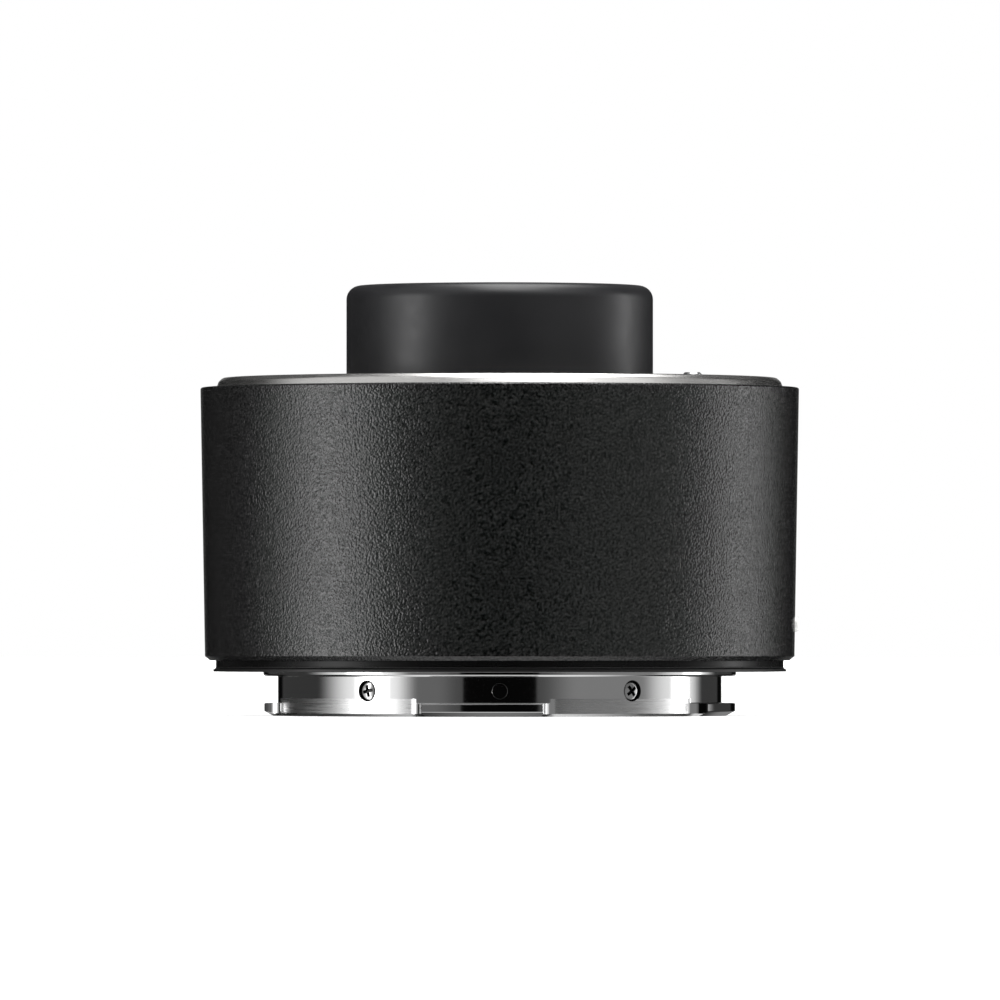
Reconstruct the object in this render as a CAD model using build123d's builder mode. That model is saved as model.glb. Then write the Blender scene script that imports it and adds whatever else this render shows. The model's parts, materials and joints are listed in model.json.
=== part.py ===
from build123d import *

import os
from math import asin, copysign, cos, degrees, radians, sin, sqrt

# A camera teleconverter, which goes between a camera and its lens. It has a male bayonet at the back,
# a female bayonet ring at the front, and a lens barrel whose nose stands out of that ring.
#
# Z is the optical axis. Z = 0 is the rear mount plane, and +Z points to the front, towards the lens.
# A bearing is an angle about Z, counted from the -Y side towards +X.
# Heights are measured along Z from the rear mount plane.

os.makedirs("parts", exist_ok=True)

# Fits, used all through
snug = 0.02            # play between pieces that are fixed to each other
bore_gap = 0.05        # play round what drops into a bore
sliding_gap = 0.06     # play round what slides
overrun = 1.0          # how far a cut runs past what it cuts

# The standard throat of the mount drives every radius. The male bayonet is made to fit the female one.
throat_radius = 25.8
mount_play = 0.05

# Male bayonet at the back
spigot_height = 0.45
spigot_chamfer = 0.17
spigot_step = 1.58
barrel_wall = 2.17
barrel_depth = 4.78
tab_inset = 0.09
tab_top_depth = 3.38
tab_face_depth = 4.27
tab_chamfer = 1.0
land_depth = 2.86
land_step = 0.10
cutter_radius = 2.0
tab_bearings = [(-19.0, 10.3), (61.3, 98.0), (152.0, 190.0), (238.0, 277.0)]
flange_width = 4.25
flange_thickness = 1.2
shim_thickness = 0.2
shim_width = 5.0

# Screws of the two mounts
mount_screw_radius = 0.8
mount_screw_length = 6.4
screw_head_radius = 1.6
screw_head_height = 0.85
rear_screw_count = 4
rear_screw_bearing = 45.0
front_screw_count = 4
front_screw_bearing = 20.0

# Small screws in the side of the bayonet, and a plug that is flush with it
side_screw_bearing = 36.2
side_hole_depth = 2.03
side_head_radius = 0.98
side_head_height = 0.5
side_head_recess = 0.12
side_head_gap = 0.14
side_screw_radius = 0.6
side_screw_length = 4.6
plug_radius = 0.84
plug_length = 4.0

# Rear cover ring and its rubber seal
neck_wall = 0.91
neck_start = 0.56
web_thickness = 0.8
cover_spigot_height = 1.96
seal_reach = 0.29
seal_edge = 0.3
seal_root_inset = 0.25
seal_root_depth = 0.4

# Outer shell
shell_overhang = 1.19
shell_taper = 0.5
shell_wall = 2.0
shell_foot = 1.24
shell_chamfer_width = 0.53
shell_chamfer_height = 0.48
shell_edge_round = 0.15
shell_air = 1.2
ledge_height = 0.8
rim_width = 1.75
ring_reveal = 1.05

# Chassis
chassis_wall = 3.3
rear_lip_width = 3.6
rear_lip_thickness = 2.8
web_width = 5.1
web_height = 1.6

# Heights of what stands between the two mounts, one on another
board_bay = 14.2
board_thickness = 1.0
board_drop = 1.0
tube_flange_height = 2.0
skirt_height = 3.0
shroud_floor_thickness = 1.2
well_under_claws = 3.1
claw_height = 1.5
claw_drop = 1.2
nose_above_mount = 10.05

# Front ring, a female bayonet
front_ring_height = 2.5
front_ring_round = 0.7
throat_chamfer = 0.3
claw_reach = 1.4
claw_margin_angle = 2.0
spring_pocket_width = 1.2
claw_spring_thickness = 0.3
claw_spring_inset = 0.3
claw_spring_margin_angle = 4.0
claw_spring_band = 0.9

# Rear light baffle
baffle_gap = 0.05
baffle_wall = 1.05
baffle_plate = 1.2
baffle_skirt_depth = 3.9
baffle_rim_width = 1.05
baffle_rim_thickness = 0.95
baffle_opening_width = 25.0
baffle_opening_height = 18.0
baffle_corner = 3.0

# Electric contacts
contact_count = 10
contact_pitch_angle = 6.5
contact_inset = 1.6
rear_pad_radius = 0.65
rear_pad_proud = 0.05
rear_block_inset = 1.7
rear_block_half_angle = 43.0
rear_block_depth = 4.4
rear_block_top_depth = 0.4
front_block_inset = 1.2
front_block_outset = 1.8
front_block_half_angle = 36.0
front_block_proud = 0.8
front_block_ear = 1.9
front_block_ear_height = 1.2
pin_tip_radius = 0.4
pin_collar_radius = 0.72
pin_collar_height = 0.7
pin_collar_play = 0.03
pin_proud = 1.05
pin_guide = 1.6
contact_spring_wall = 0.15
flex_thickness = 0.3
flex_width = 8.0
flex_foot_width = 1.8
flex_half_angle = 32.0
flex_end_angle = 1.0
flex_outset = 0.3

# Circuit board
board_gap = 0.5
board_width = 7.0
board_screw_inset = 1.6
board_screw_bearing = 90.0
board_screw_radius = 0.5
board_screw_length = 3.2
board_post_radius = 1.4
board_head_radius = 1.3
board_head_height = 0.9
chip_size = 6.0
chip_height = 0.9
chip_bearing = 135.0

# Shroud round the nose, which is the floor of the front well
shroud_wall = 1.2
shroud_gap = 0.1
boss_radius = 1.9

# Screws through the shroud, the lens barrel's flange and the chassis web
optics_screw_count = 3
optics_screw_bearing = 60.0
optics_screw_radius = 0.8
optics_head_radius = 1.35
optics_head_height = 0.7
optics_head_recess = 0.8

# Nose
nose_foot_gap = 0.2
nose_foot_width = 1.20
nose_wall = 2.45
nose_edge_round = 1.5
nose_lip_width = 1.35
nose_lip_height = 0.25
nose_bevel_width = 1.5
nose_bevel_height = 0.75

# Lens barrel
tube_flange_gap = 0.2
tube_wall = 1.75
tube_rear_wall = 1.65
tube_behind_glass = 1.5
doublet_step = 0.8
ledge_width = 1.0
middle_step = 0.4
field_step = 1.0
rear_step = 1.0
spacer_step = 0.75

# Lens elements. A negative one has its thickness on the axis and a positive one at its rim, where each
# is thinnest. A ratio is the radius of a surface over that of its rim. A positive one bulges to the
# front and a negative one to the back.
glass_below_nose = 1.45
front_edge = 1.5
doublet_negative_thickness = 1.6
doublet_edge = 0.95
middle_negative_thickness = 1.5
middle_edge = 1.1
field_thickness = 1.6
rear_edge = 1.7
air_behind_front = 2.8
air_behind_doublet = 2.0
air_behind_middle = 4.1
air_behind_field = 1.8
front_ratio = 3.63
front_back_ratio = 24.19
doublet_ratio = -3.45
doublet_joint_ratio = 1.9
doublet_back_ratio = -2.59
middle_ratio = -2.92
middle_joint_ratio = 2.33
middle_back_ratio = -5.0
field_ratio = -1.85
field_back_ratio = -5.38
rear_ratio = 3.57
rear_back_ratio = -8.57
retainer_width = 1.0
rear_retainer_width = 1.4
spacer_width = 1.4
middle_spacer_width = 0.8
rear_spacer_width = 0.8
retainer_recess = 0.15
retainer_bevel = 0.6

# Lens release: a slider on the shell pulls the lock pin down against a spring
lock_bearing = 131.4
lock_pin_radius = 1.03
lock_pin_proud = 1.0
lock_pin_chamfer = 0.2
lock_tail_radius = 0.7
lock_tail_length = 2.8
lock_travel = 1.5
carrier_depth = 2.04
carrier_width = 4.0
carrier_height = 9.44
lock_spring_length = 8.0
lock_spring_radius = 0.68
lock_spring_wire = 0.14
lock_spring_turns = 6
stem_size = 3.0
stem_height = 2.3
stem_reach = 1.1
slider_width = 9.0
slider_height = 9.0
slider_thickness = 1.45
slider_round = 0.8
ridge_count = 3
ridge_pitch = 2.2
ridge_width = 1.0
ridge_height = 0.5
bed_depth = 0.7
bed_width = 10.4
bed_margin = 2.3

# Index dots
dot_radius = 0.82
dot_proud = 0.4
dot_sunk = 0.28
dot_round = 0.2
dot_bearing = 90.0
side_dot_height = 5.2

# Angles of a quarter and of a whole turn
quarter_angle = 90.0
whole_angle = 360.0

# Radii worked out from the throat outwards
spigot_radius = throat_radius - mount_play
barrel_radius = spigot_radius - spigot_step
tab_radius = spigot_radius - tab_inset
flange_radius = spigot_radius + flange_width
neck_radius = flange_radius + neck_wall
seal_radius = neck_radius + seal_reach
shell_bottom_radius = neck_radius + shell_overhang
shell_top_radius = shell_bottom_radius + shell_taper
shell_bore = shell_top_radius - shell_wall
chassis_radius = shell_bore - shell_air
chassis_bore_radius = chassis_radius - chassis_wall
front_ring_radius = shell_top_radius - rim_width
rear_screw_circle = (spigot_radius + flange_radius) / 2
ring_middle = (throat_radius + front_ring_radius) / 2
claw_radius = throat_radius - claw_reach
spring_pocket_radius = throat_radius + spring_pocket_width
web_bore_radius = chassis_radius - shim_width
slider_bed = shell_top_radius - bed_depth

# Radii worked out from the throat inwards
barrel_bore = barrel_radius - barrel_wall
baffle_radius = barrel_bore - baffle_gap
baffle_bore = baffle_radius - baffle_wall
baffle_rim_radius = baffle_radius + baffle_rim_width
skirt_cut = barrel_radius - baffle_bore + overrun
contact_circle = baffle_bore - contact_inset
rear_block_outer = baffle_bore - bore_gap
rear_block_inner = contact_circle - rear_block_inset
front_block_inner = contact_circle - front_block_inset
front_block_outer = contact_circle + front_block_outset
flex_circle = contact_circle + flex_outset
rear_lip_radius = chassis_bore_radius - rear_lip_width
web_inner_radius = chassis_bore_radius - web_width
optics_screw_circle = (web_inner_radius + chassis_bore_radius) / 2
board_outer_radius = chassis_bore_radius - board_gap
board_inner_radius = board_outer_radius - board_width
board_screw_circle = board_outer_radius - board_screw_inset
nose_foot_radius = front_block_inner - nose_foot_gap
nose_radius = nose_foot_radius - nose_foot_width
nose_bore_radius = nose_radius - nose_wall
nose_lip_radius = nose_bore_radius - nose_lip_width
tube_radius = nose_bore_radius - bore_gap
tube_flange_radius = chassis_bore_radius - tube_flange_gap
front_rim = tube_radius - tube_wall - bore_gap
doublet_rim = front_rim - doublet_step
ledge_radius = doublet_rim - ledge_width
middle_rim = doublet_rim + middle_step
field_rim = middle_rim + field_step
rear_rim = field_rim + rear_step
tube_rear_radius = rear_rim + bore_gap + tube_rear_wall

# Radii of the lens surfaces, from the rim of each element
front_curve = front_ratio * front_rim
front_back_curve = front_back_ratio * front_rim
doublet_curve = doublet_ratio * doublet_rim
doublet_joint_curve = doublet_joint_ratio * doublet_rim
doublet_back_curve = doublet_back_ratio * doublet_rim
middle_curve = middle_ratio * middle_rim
middle_joint_curve = middle_joint_ratio * middle_rim
middle_back_curve = middle_back_ratio * middle_rim
field_curve = field_ratio * field_rim
field_back_curve = field_back_ratio * field_rim
rear_curve = rear_ratio * rear_rim
rear_back_curve = rear_back_ratio * rear_rim

# Heights worked out from the rear mount plane upwards
cover_web = flange_thickness + shim_thickness
chassis_end = cover_web + web_thickness
cover_spigot_top = shell_foot + cover_spigot_height
board_bottom = chassis_end + board_bay
board_top = board_bottom + board_thickness
web_bottom = board_top + board_drop
optics_seat = web_bottom + web_height
tube_flange_top = optics_seat + tube_flange_height
shroud_bottom = tube_flange_top + skirt_height
shroud_floor = shroud_bottom + shroud_floor_thickness
front_block_top = shroud_floor + front_block_proud
claw_bottom = shroud_floor + well_under_claws
claw_top = claw_bottom + claw_height
mount_to_mount = claw_top + claw_drop
spring_seat = claw_bottom - claw_spring_thickness
ring_seat = mount_to_mount - front_ring_height
shell_top = mount_to_mount - ring_reveal
nose_top = mount_to_mount + nose_above_mount
tube_top = nose_top - nose_lip_height - nose_bevel_height - bore_gap


def outward(bearing, radius, height):
    """Place at a bearing, a radius and a height, with its own X pointing away from the axis."""
    turn = radians(bearing - quarter_angle)
    return Location((radius * cos(turn), radius * sin(turn), height), (0, 0, degrees(turn)))


def facing(bearing, radius, height):
    """Plane at the same place that faces away from the axis, for holes and screws in the side."""
    turn = radians(bearing - quarter_angle)
    return Plane(
        origin=(radius * cos(turn), radius * sin(turn), height),
        x_dir=(-sin(turn), cos(turn), 0),
        z_dir=(cos(turn), sin(turn), 0),
    )


def half_plane(bearing):
    """Plane that holds the axis and that bearing: its X is the radius and its Y is the height."""
    turn = radians(bearing - quarter_angle)
    return Plane(origin=(0, 0, 0), x_dir=(cos(turn), sin(turn), 0), z_dir=(sin(turn), -cos(turn), 0))


def turned(points, start=quarter_angle, sweep=whole_angle, mode=Mode.ADD):
    """Turn a closed outline of (radius, height) points about the axis, or only through an arc."""
    with BuildSketch(half_plane(start)) as section:
        with BuildLine():
            Polyline(*points, close=True)
        make_face()
    revolve(section.sketch.faces(), axis=Axis.Z, revolution_arc=sweep, mode=mode)


def ring(outer, inner, bottom, top):
    """Outline of a plain ring."""
    return [(inner, bottom), (outer, bottom), (outer, top), (inner, top)]


def sag(curve, radius):
    """How far a sphere's surface falls away at a radius from its pole."""
    return curve - copysign(sqrt(curve**2 - radius**2), curve)


def bulge(front_radius, back_radius, rim):
    """How much thicker a lens is on the axis than at its rim."""
    return sag(front_radius, rim) - sag(back_radius, rim)


def lens(rim, front_pole, thickness, front_radius, back_radius):
    """Turn a lens: a front arc, a ground rim and a back arc."""
    back_pole = front_pole - thickness
    midway = rim / 2
    front = [(r, front_pole - sag(front_radius, r)) for r in (0, midway, rim)]
    back = [(r, back_pole - sag(back_radius, r)) for r in (rim, midway, 0)]
    with BuildSketch(half_plane(quarter_angle)) as section:
        with BuildLine():
            ThreePointArc(*front)
            Line(front[-1], back[0])
            ThreePointArc(*back)
            Line(back[-1], front[0])
        make_face()
    revolve(section.sketch.faces(), axis=Axis.Z)


def round_bearings(first, count):
    """Bearings spaced evenly all the way round."""
    return [first + whole_angle * i / count for i in range(count)]


def gaps_between(arcs):
    """The arcs left free between a list of arcs that goes once round."""
    starts = [arc[0] for arc in arcs[1:]] + [arcs[0][0] + whole_angle]
    return list(zip([arc[1] for arc in arcs], starts))


def write(piece, name):
    """Label a finished piece and write it under that name."""
    piece.part.label = name
    export_step(piece.part, f"parts/{name}.step")


def fixed_screw(bearing, circle, top, toward, shaft_radius, length, head_radius, head_height, flat):
    """Screw parallel to the axis, with its head's top at a height. toward is 1 for a shaft that runs
    up and -1 for one that runs down. A flat head is a cone, any other is a plain cylinder."""
    align = (Align.CENTER, Align.CENTER, Align.MIN if toward > 0 else Align.MAX)
    with Locations(outward(bearing, circle, top)):
        if flat and toward > 0:
            Cone(head_radius, shaft_radius, head_height, align=align)
        elif flat:
            Cone(shaft_radius, head_radius, head_height, align=align)
        else:
            Cylinder(head_radius, head_height, align=align)
        Cylinder(shaft_radius, length, align=align)


def axial_hole(bearing, circle, height, radius, depth, toward):
    """Blind or through hole parallel to the axis, which starts at a height."""
    align = (Align.CENTER, Align.CENTER, Align.MIN if toward > 0 else Align.MAX)
    with Locations(outward(bearing, circle, height)):
        Cylinder(radius, depth, align=align, mode=Mode.SUBTRACT)


def side_hole(bearing, outer_radius, height, radius, depth):
    """Hole towards the axis, from a point outside the wall."""
    with Locations(facing(bearing, outer_radius, height)):
        Cylinder(radius, depth, align=(Align.CENTER, Align.CENTER, Align.MAX), mode=Mode.SUBTRACT)


rear_screws = round_bearings(rear_screw_bearing, rear_screw_count)
front_screws = round_bearings(front_screw_bearing, front_screw_count)
optics_screw_places = round_bearings(optics_screw_bearing, optics_screw_count)
board_screw_places = round_bearings(board_screw_bearing, optics_screw_count)
side_screw_places = (-side_screw_bearing, side_screw_bearing)
contact_bearings = [contact_pitch_angle * (i - (contact_count - 1) / 2) for i in range(contact_count)]
claw_bearings = [(start - claw_margin_angle, end + claw_margin_angle) for start, end in tab_bearings]

# Rear bayonet. The tabs are turned as one lip all round, and an end mill then clears the lands between
# them, so each tab ends in the cutter's own radius.
cutter_circle = barrel_radius - land_step + cutter_radius
cutter_angle = degrees(asin(cutter_radius / cutter_circle))
with BuildPart() as rear_bayonet:
    turned(
        [
            (barrel_bore, flange_thickness),
            (flange_radius, flange_thickness),
            (flange_radius, 0),
            (spigot_radius, 0),
            (spigot_radius, spigot_chamfer - spigot_height),
            (spigot_radius - spigot_chamfer, -spigot_height),
            (barrel_radius, -spigot_height),
            (barrel_radius, -tab_top_depth),
            (tab_radius, -tab_top_depth),
            (tab_radius, -tab_face_depth),
            (tab_radius - tab_chamfer, -barrel_depth),
            (barrel_bore, -barrel_depth),
        ]
    )
    for start, end in gaps_between(tab_bearings):
        with BuildSketch(Plane.XY.offset(-land_depth)):
            SlotArc(
                Edge.make_circle(
                    cutter_circle,
                    start_angle=start + cutter_angle - quarter_angle,
                    end_angle=end - cutter_angle - quarter_angle,
                ),
                2 * cutter_radius,
            )
        extrude(amount=-(barrel_depth - land_depth + overrun), mode=Mode.SUBTRACT)
    for bearing in rear_screws:
        axial_hole(bearing, rear_screw_circle, 0, mount_screw_radius + bore_gap, flange_thickness, 1)
        with Locations(outward(bearing, rear_screw_circle, 0)):
            Cone(
                screw_head_radius + snug,
                mount_screw_radius + bore_gap,
                screw_head_height + snug,
                align=(Align.CENTER, Align.CENTER, Align.MIN),
                mode=Mode.SUBTRACT,
            )
    for bearing in side_screw_places:
        side_hole(
            bearing,
            barrel_radius + overrun,
            -side_hole_depth,
            side_head_radius + side_head_gap,
            overrun + side_head_recess + side_head_height,
        )
        side_hole(
            bearing,
            barrel_radius,
            -side_hole_depth,
            side_screw_radius + bore_gap,
            barrel_wall + overrun,
        )
    side_hole(0, barrel_radius + overrun, -side_hole_depth, plug_radius + snug, barrel_wall + 2 * overrun)
write(rear_bayonet, "rear_bayonet")

with BuildPart() as rear_shim:
    turned(ring(chassis_radius, web_bore_radius, flange_thickness, cover_web))
    for bearing in rear_screws:
        axial_hole(
            bearing, rear_screw_circle, flange_thickness, mount_screw_radius + bore_gap, shim_thickness, 1
        )
write(rear_shim, "rear_shim")

# Rear cover ring: the neck under the shell, with a web that the rear screws clamp and a spigot that
# centres the shell.
with BuildPart() as rear_cover_ring:
    turned(
        [
            (web_bore_radius, cover_web),
            (flange_radius + bore_gap, cover_web),
            (flange_radius + bore_gap, neck_start),
            (neck_radius, neck_start),
            (neck_radius, shell_foot),
            (shell_bore - bore_gap, shell_foot),
            (shell_bore - bore_gap, cover_spigot_top),
            (chassis_radius + bore_gap, cover_spigot_top),
            (chassis_radius + bore_gap, chassis_end),
            (web_bore_radius, chassis_end),
        ]
    )
    turned(
        ring(
            neck_radius - seal_root_inset + snug,
            flange_radius + bore_gap + seal_root_inset - snug,
            neck_start,
            neck_start + seal_root_depth + snug,
        ),
        mode=Mode.SUBTRACT,
    )
    for bearing in rear_screws:
        axial_hole(bearing, rear_screw_circle, cover_web, mount_screw_radius + bore_gap, web_thickness, 1)
write(rear_cover_ring, "rear_cover_ring")

# Mount seal: a rubber lip that flares from the neck out to the mount plane, with a root in the ring
with BuildPart() as mount_seal:
    seal_inner = flange_radius + bore_gap
    flare_width = seal_radius - neck_radius
    flare_height = neck_start - seal_edge
    with BuildSketch(half_plane(quarter_angle)) as seal_section:
        with BuildLine():
            Polyline(
                (neck_radius, neck_start),
                (neck_radius - seal_root_inset, neck_start),
                (neck_radius - seal_root_inset, neck_start + seal_root_depth),
                (seal_inner + seal_root_inset, neck_start + seal_root_depth),
                (seal_inner + seal_root_inset, neck_start),
                (seal_inner, neck_start),
                (seal_inner, snug),
                (seal_radius, snug),
                (seal_radius, seal_edge),
            )
            EllipticalCenterArc(
                (seal_radius, neck_start),
                flare_width,
                flare_height,
                start_angle=2 * quarter_angle,
                arc_size=quarter_angle,
            )
        make_face()
    revolve(seal_section.sketch.faces(), axis=Axis.Z)
write(mount_seal, "mount_seal")

with BuildPart() as rear_flange_screws:
    for bearing in rear_screws:
        fixed_screw(
            bearing,
            rear_screw_circle,
            snug,
            1,
            mount_screw_radius,
            mount_screw_length,
            screw_head_radius,
            screw_head_height,
            True,
        )
write(rear_flange_screws, "rear_flange_screws")

with BuildPart() as barrel_side_screws:
    for bearing in side_screw_places:
        with Locations(facing(bearing, barrel_radius - side_head_recess, -side_hole_depth)):
            Cylinder(
                side_head_radius, side_head_height, align=(Align.CENTER, Align.CENTER, Align.MAX)
            )
            Cylinder(
                side_screw_radius, side_screw_length, align=(Align.CENTER, Align.CENTER, Align.MAX)
            )
write(barrel_side_screws, "barrel_side_screws")

with BuildPart() as dowel_pin:
    with Locations(facing(0, barrel_radius - snug, -side_hole_depth)):
        Cylinder(plug_radius, plug_length, align=(Align.CENTER, Align.CENTER, Align.MAX))
write(dowel_pin, "dowel_pin")

# Rear light baffle: a dish with a rectangular opening for the light, and a skirt inside the bayonet
with BuildPart() as rear_light_baffle:
    turned(
        [
            (0, 0),
            (baffle_bore, 0),
            (baffle_bore, -baffle_skirt_depth),
            (baffle_radius, -baffle_skirt_depth),
            (baffle_radius, flange_thickness),
            (baffle_rim_radius, flange_thickness),
            (baffle_rim_radius, flange_thickness + baffle_rim_thickness),
            (baffle_bore, flange_thickness + baffle_rim_thickness),
            (baffle_bore, baffle_plate),
            (0, baffle_plate),
        ]
    )
    with BuildSketch():
        RectangleRounded(baffle_opening_width, baffle_opening_height, baffle_corner)
    extrude(amount=baffle_plate, mode=Mode.SUBTRACT)
    with Locations(outward(0, flex_circle + flex_thickness / 2, 0)):
        Box(
            flex_thickness + 2 * bore_gap,
            flex_width + 2 * bore_gap,
            baffle_plate,
            align=(Align.CENTER, Align.CENTER, Align.MIN),
            mode=Mode.SUBTRACT,
        )
    for bearing in side_screw_places:
        side_hole(bearing, barrel_radius, -side_hole_depth, side_screw_radius + bore_gap, skirt_cut)
    side_hole(0, barrel_radius, -side_hole_depth, plug_radius + snug, skirt_cut)
write(rear_light_baffle, "rear_light_baffle")

with BuildPart() as rear_contact_block:
    turned(
        ring(rear_block_outer, rear_block_inner, -rear_block_depth, -rear_block_top_depth),
        start=-rear_block_half_angle,
        sweep=2 * rear_block_half_angle,
    )
    for bearing in side_screw_places:
        side_hole(
            bearing,
            barrel_radius,
            -side_hole_depth,
            side_screw_radius + snug,
            side_head_recess + side_screw_length + snug,
        )
    side_hole(0, barrel_radius, -side_hole_depth, plug_radius + snug, plug_length + 2 * snug)
    for bearing in contact_bearings:
        axial_hole(
            bearing,
            contact_circle,
            -rear_block_depth,
            rear_pad_radius + snug,
            rear_block_depth - rear_block_top_depth,
            1,
        )
write(rear_contact_block, "rear_contact_block")

# Rear contacts: gold pins that stand a little proud. The plug and the side screws stop short of them.
with BuildPart() as rear_contacts:
    for bearing in contact_bearings:
        with Locations(outward(bearing, contact_circle, -rear_block_depth - rear_pad_proud)):
            Cylinder(
                rear_pad_radius,
                rear_block_depth + rear_pad_proud - rear_block_top_depth,
                align=(Align.CENTER, Align.CENTER, Align.MIN),
            )
write(rear_contacts, "rear_contacts")

# Flat cables: each has a foot that follows the row of contacts and a riser to the circuit board
flex_inner = contact_circle - flex_foot_width / 2
flex_outer = contact_circle + flex_foot_width / 2
with BuildPart() as rear_flex:
    turned(
        ring(flex_outer, flex_inner, -rear_block_top_depth, flex_thickness - rear_block_top_depth),
        start=-flex_half_angle,
        sweep=2 * flex_half_angle,
    )
    with Locations(outward(0, flex_circle + flex_thickness / 2, -rear_block_top_depth)):
        Box(
            flex_thickness,
            flex_width,
            board_bottom + rear_block_top_depth,
            align=(Align.CENTER, Align.CENTER, Align.MIN),
        )
write(rear_flex, "rear_flex")

with BuildPart() as front_flex:
    turned(
        ring(flex_outer, flex_inner, tube_flange_top + snug, tube_flange_top + snug + flex_thickness),
        start=-flex_half_angle,
        sweep=2 * flex_half_angle,
    )
    with Locations(outward(0, flex_circle + flex_thickness / 2, board_top)):
        Box(
            flex_thickness,
            flex_width,
            tube_flange_top + snug + flex_thickness - board_top,
            align=(Align.CENTER, Align.CENTER, Align.MIN),
        )
write(front_flex, "front_flex")

with BuildPart() as circuit_board:
    turned(ring(board_outer_radius, board_inner_radius, board_bottom, board_top))
    for bearing in board_screw_places:
        axial_hole(
            bearing, board_screw_circle, board_bottom, board_screw_radius + bore_gap, board_thickness, 1
        )
write(circuit_board, "circuit_board")

with BuildPart() as controller_chip:
    board_middle = (board_inner_radius + board_outer_radius) / 2
    with Locations(outward(chip_bearing, board_middle, board_bottom)):
        Box(chip_size, chip_size, chip_height, align=(Align.CENTER, Align.CENTER, Align.MAX))
write(controller_chip, "controller_chip")

with BuildPart() as board_screws:
    for bearing in board_screw_places:
        fixed_screw(
            bearing,
            board_screw_circle,
            board_bottom - board_head_height,
            1,
            board_screw_radius,
            board_head_height + board_screw_length,
            board_head_radius,
            board_head_height,
            False,
        )
write(board_screws, "board_screws")

# Chassis: the tube that both mounts screw to. Its inner web carries the lens barrel and the circuit
# board, and a pocket in its side holds the lens release.
pocket_floor = ring_seat - sliding_gap - carrier_height - lock_spring_length
pocket_wall = ring_middle - carrier_depth / 2 - sliding_gap
with BuildPart() as chassis_tube:
    turned(
        [
            (rear_lip_radius, chassis_end),
            (chassis_radius, chassis_end),
            (chassis_radius, ring_seat),
            (spring_pocket_radius, ring_seat),
            (spring_pocket_radius, spring_seat),
            (chassis_bore_radius, spring_seat),
            (chassis_bore_radius, optics_seat),
            (web_inner_radius, optics_seat),
            (web_inner_radius, web_bottom),
            (chassis_bore_radius, web_bottom),
            (chassis_bore_radius, chassis_end + rear_lip_thickness),
            (rear_lip_radius, chassis_end + rear_lip_thickness),
        ]
    )
    for bearing in board_screw_places:
        with Locations(outward(bearing, board_screw_circle, board_top)):
            Cylinder(
                board_post_radius, web_bottom - board_top, align=(Align.CENTER, Align.CENTER, Align.MIN)
            )
    for bearing in board_screw_places:
        axial_hole(
            bearing,
            board_screw_circle,
            board_top,
            board_screw_radius + snug,
            board_screw_length - board_thickness + snug,
            1,
        )
    for bearing in rear_screws:
        axial_hole(
            bearing,
            rear_screw_circle,
            chassis_end,
            mount_screw_radius + snug,
            mount_screw_length - cover_web,
            1,
        )
    for bearing in front_screws:
        axial_hole(
            bearing,
            ring_middle,
            ring_seat,
            mount_screw_radius + snug,
            mount_screw_length - front_ring_height + bore_gap,
            -1,
        )
    for bearing in optics_screw_places:
        axial_hole(
            bearing, optics_screw_circle, optics_seat, optics_screw_radius + snug, web_height, -1
        )
    with Locations(outward(lock_bearing, pocket_wall, pocket_floor)):
        Box(
            chassis_radius,
            carrier_width + 2 * sliding_gap,
            mount_to_mount,
            align=(Align.MIN, Align.CENTER, Align.MIN),
            mode=Mode.SUBTRACT,
        )
write(chassis_tube, "chassis_tube")

# Outer shell: a tapered barrel with an inner ledge, clamped between the front ring and the cover ring
stem_centre = ring_seat - sliding_gap - carrier_height + stem_height + stem_size / 2
slider_bottom = stem_centre - slider_height / 2
with BuildPart() as outer_shell:
    turned(
        [
            (shell_bore, shell_foot),
            (shell_bottom_radius - shell_chamfer_width, shell_foot),
            (shell_bottom_radius, shell_foot + shell_chamfer_height),
            (shell_top_radius, shell_top),
            (front_ring_radius + bore_gap, shell_top),
            (front_ring_radius + bore_gap, ring_seat),
            (chassis_radius + bore_gap, ring_seat),
            (chassis_radius + bore_gap, ring_seat - ledge_height),
            (shell_bore, ring_seat - ledge_height),
        ]
    )
    fillet(outer_shell.edges().filter_by(GeomType.CIRCLE).sort_by(SortBy.RADIUS)[-1], shell_edge_round)
    with Locations(outward(lock_bearing, slider_bed, slider_bottom - lock_travel - bed_margin)):
        Box(
            shell_top_radius,
            bed_width,
            slider_height + lock_travel + 2 * bed_margin,
            align=(Align.MIN, Align.CENTER, Align.MIN),
            mode=Mode.SUBTRACT,
        )
    with Locations(
        outward(lock_bearing, chassis_radius, stem_centre - stem_size / 2 - lock_travel - sliding_gap)
    ):
        Box(
            shell_top_radius,
            stem_size + 2 * sliding_gap,
            stem_size + lock_travel + 2 * sliding_gap,
            align=(Align.MIN, Align.CENTER, Align.MIN),
            mode=Mode.SUBTRACT,
        )
    with Locations(facing(dot_bearing, shell_top_radius + overrun, side_dot_height)):
        Cylinder(
            dot_radius + snug,
            shell_top_radius + overrun - shell_bottom_radius + dot_sunk,
            align=(Align.CENTER, Align.CENTER, Align.MAX),
            mode=Mode.SUBTRACT,
        )
write(outer_shell, "outer_shell")

# Side index dot, a raised button whose height follows the shell's taper
taper = (shell_top_radius - shell_bottom_radius) / (shell_top - shell_foot - shell_chamfer_height)
shell_at_dot = shell_bottom_radius + taper * (side_dot_height - shell_foot - shell_chamfer_height)
with BuildPart() as side_index_dot:
    with Locations(facing(dot_bearing, shell_at_dot + dot_proud, side_dot_height)):
        Cylinder(
            dot_radius,
            shell_at_dot + dot_proud - shell_bottom_radius + dot_sunk,
            align=(Align.CENTER, Align.CENTER, Align.MAX),
        )
    fillet(side_index_dot.edges().filter_by(GeomType.CIRCLE).sort_by(Axis.X)[-1], dot_round)
write(side_index_dot, "side_index_dot")

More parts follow.
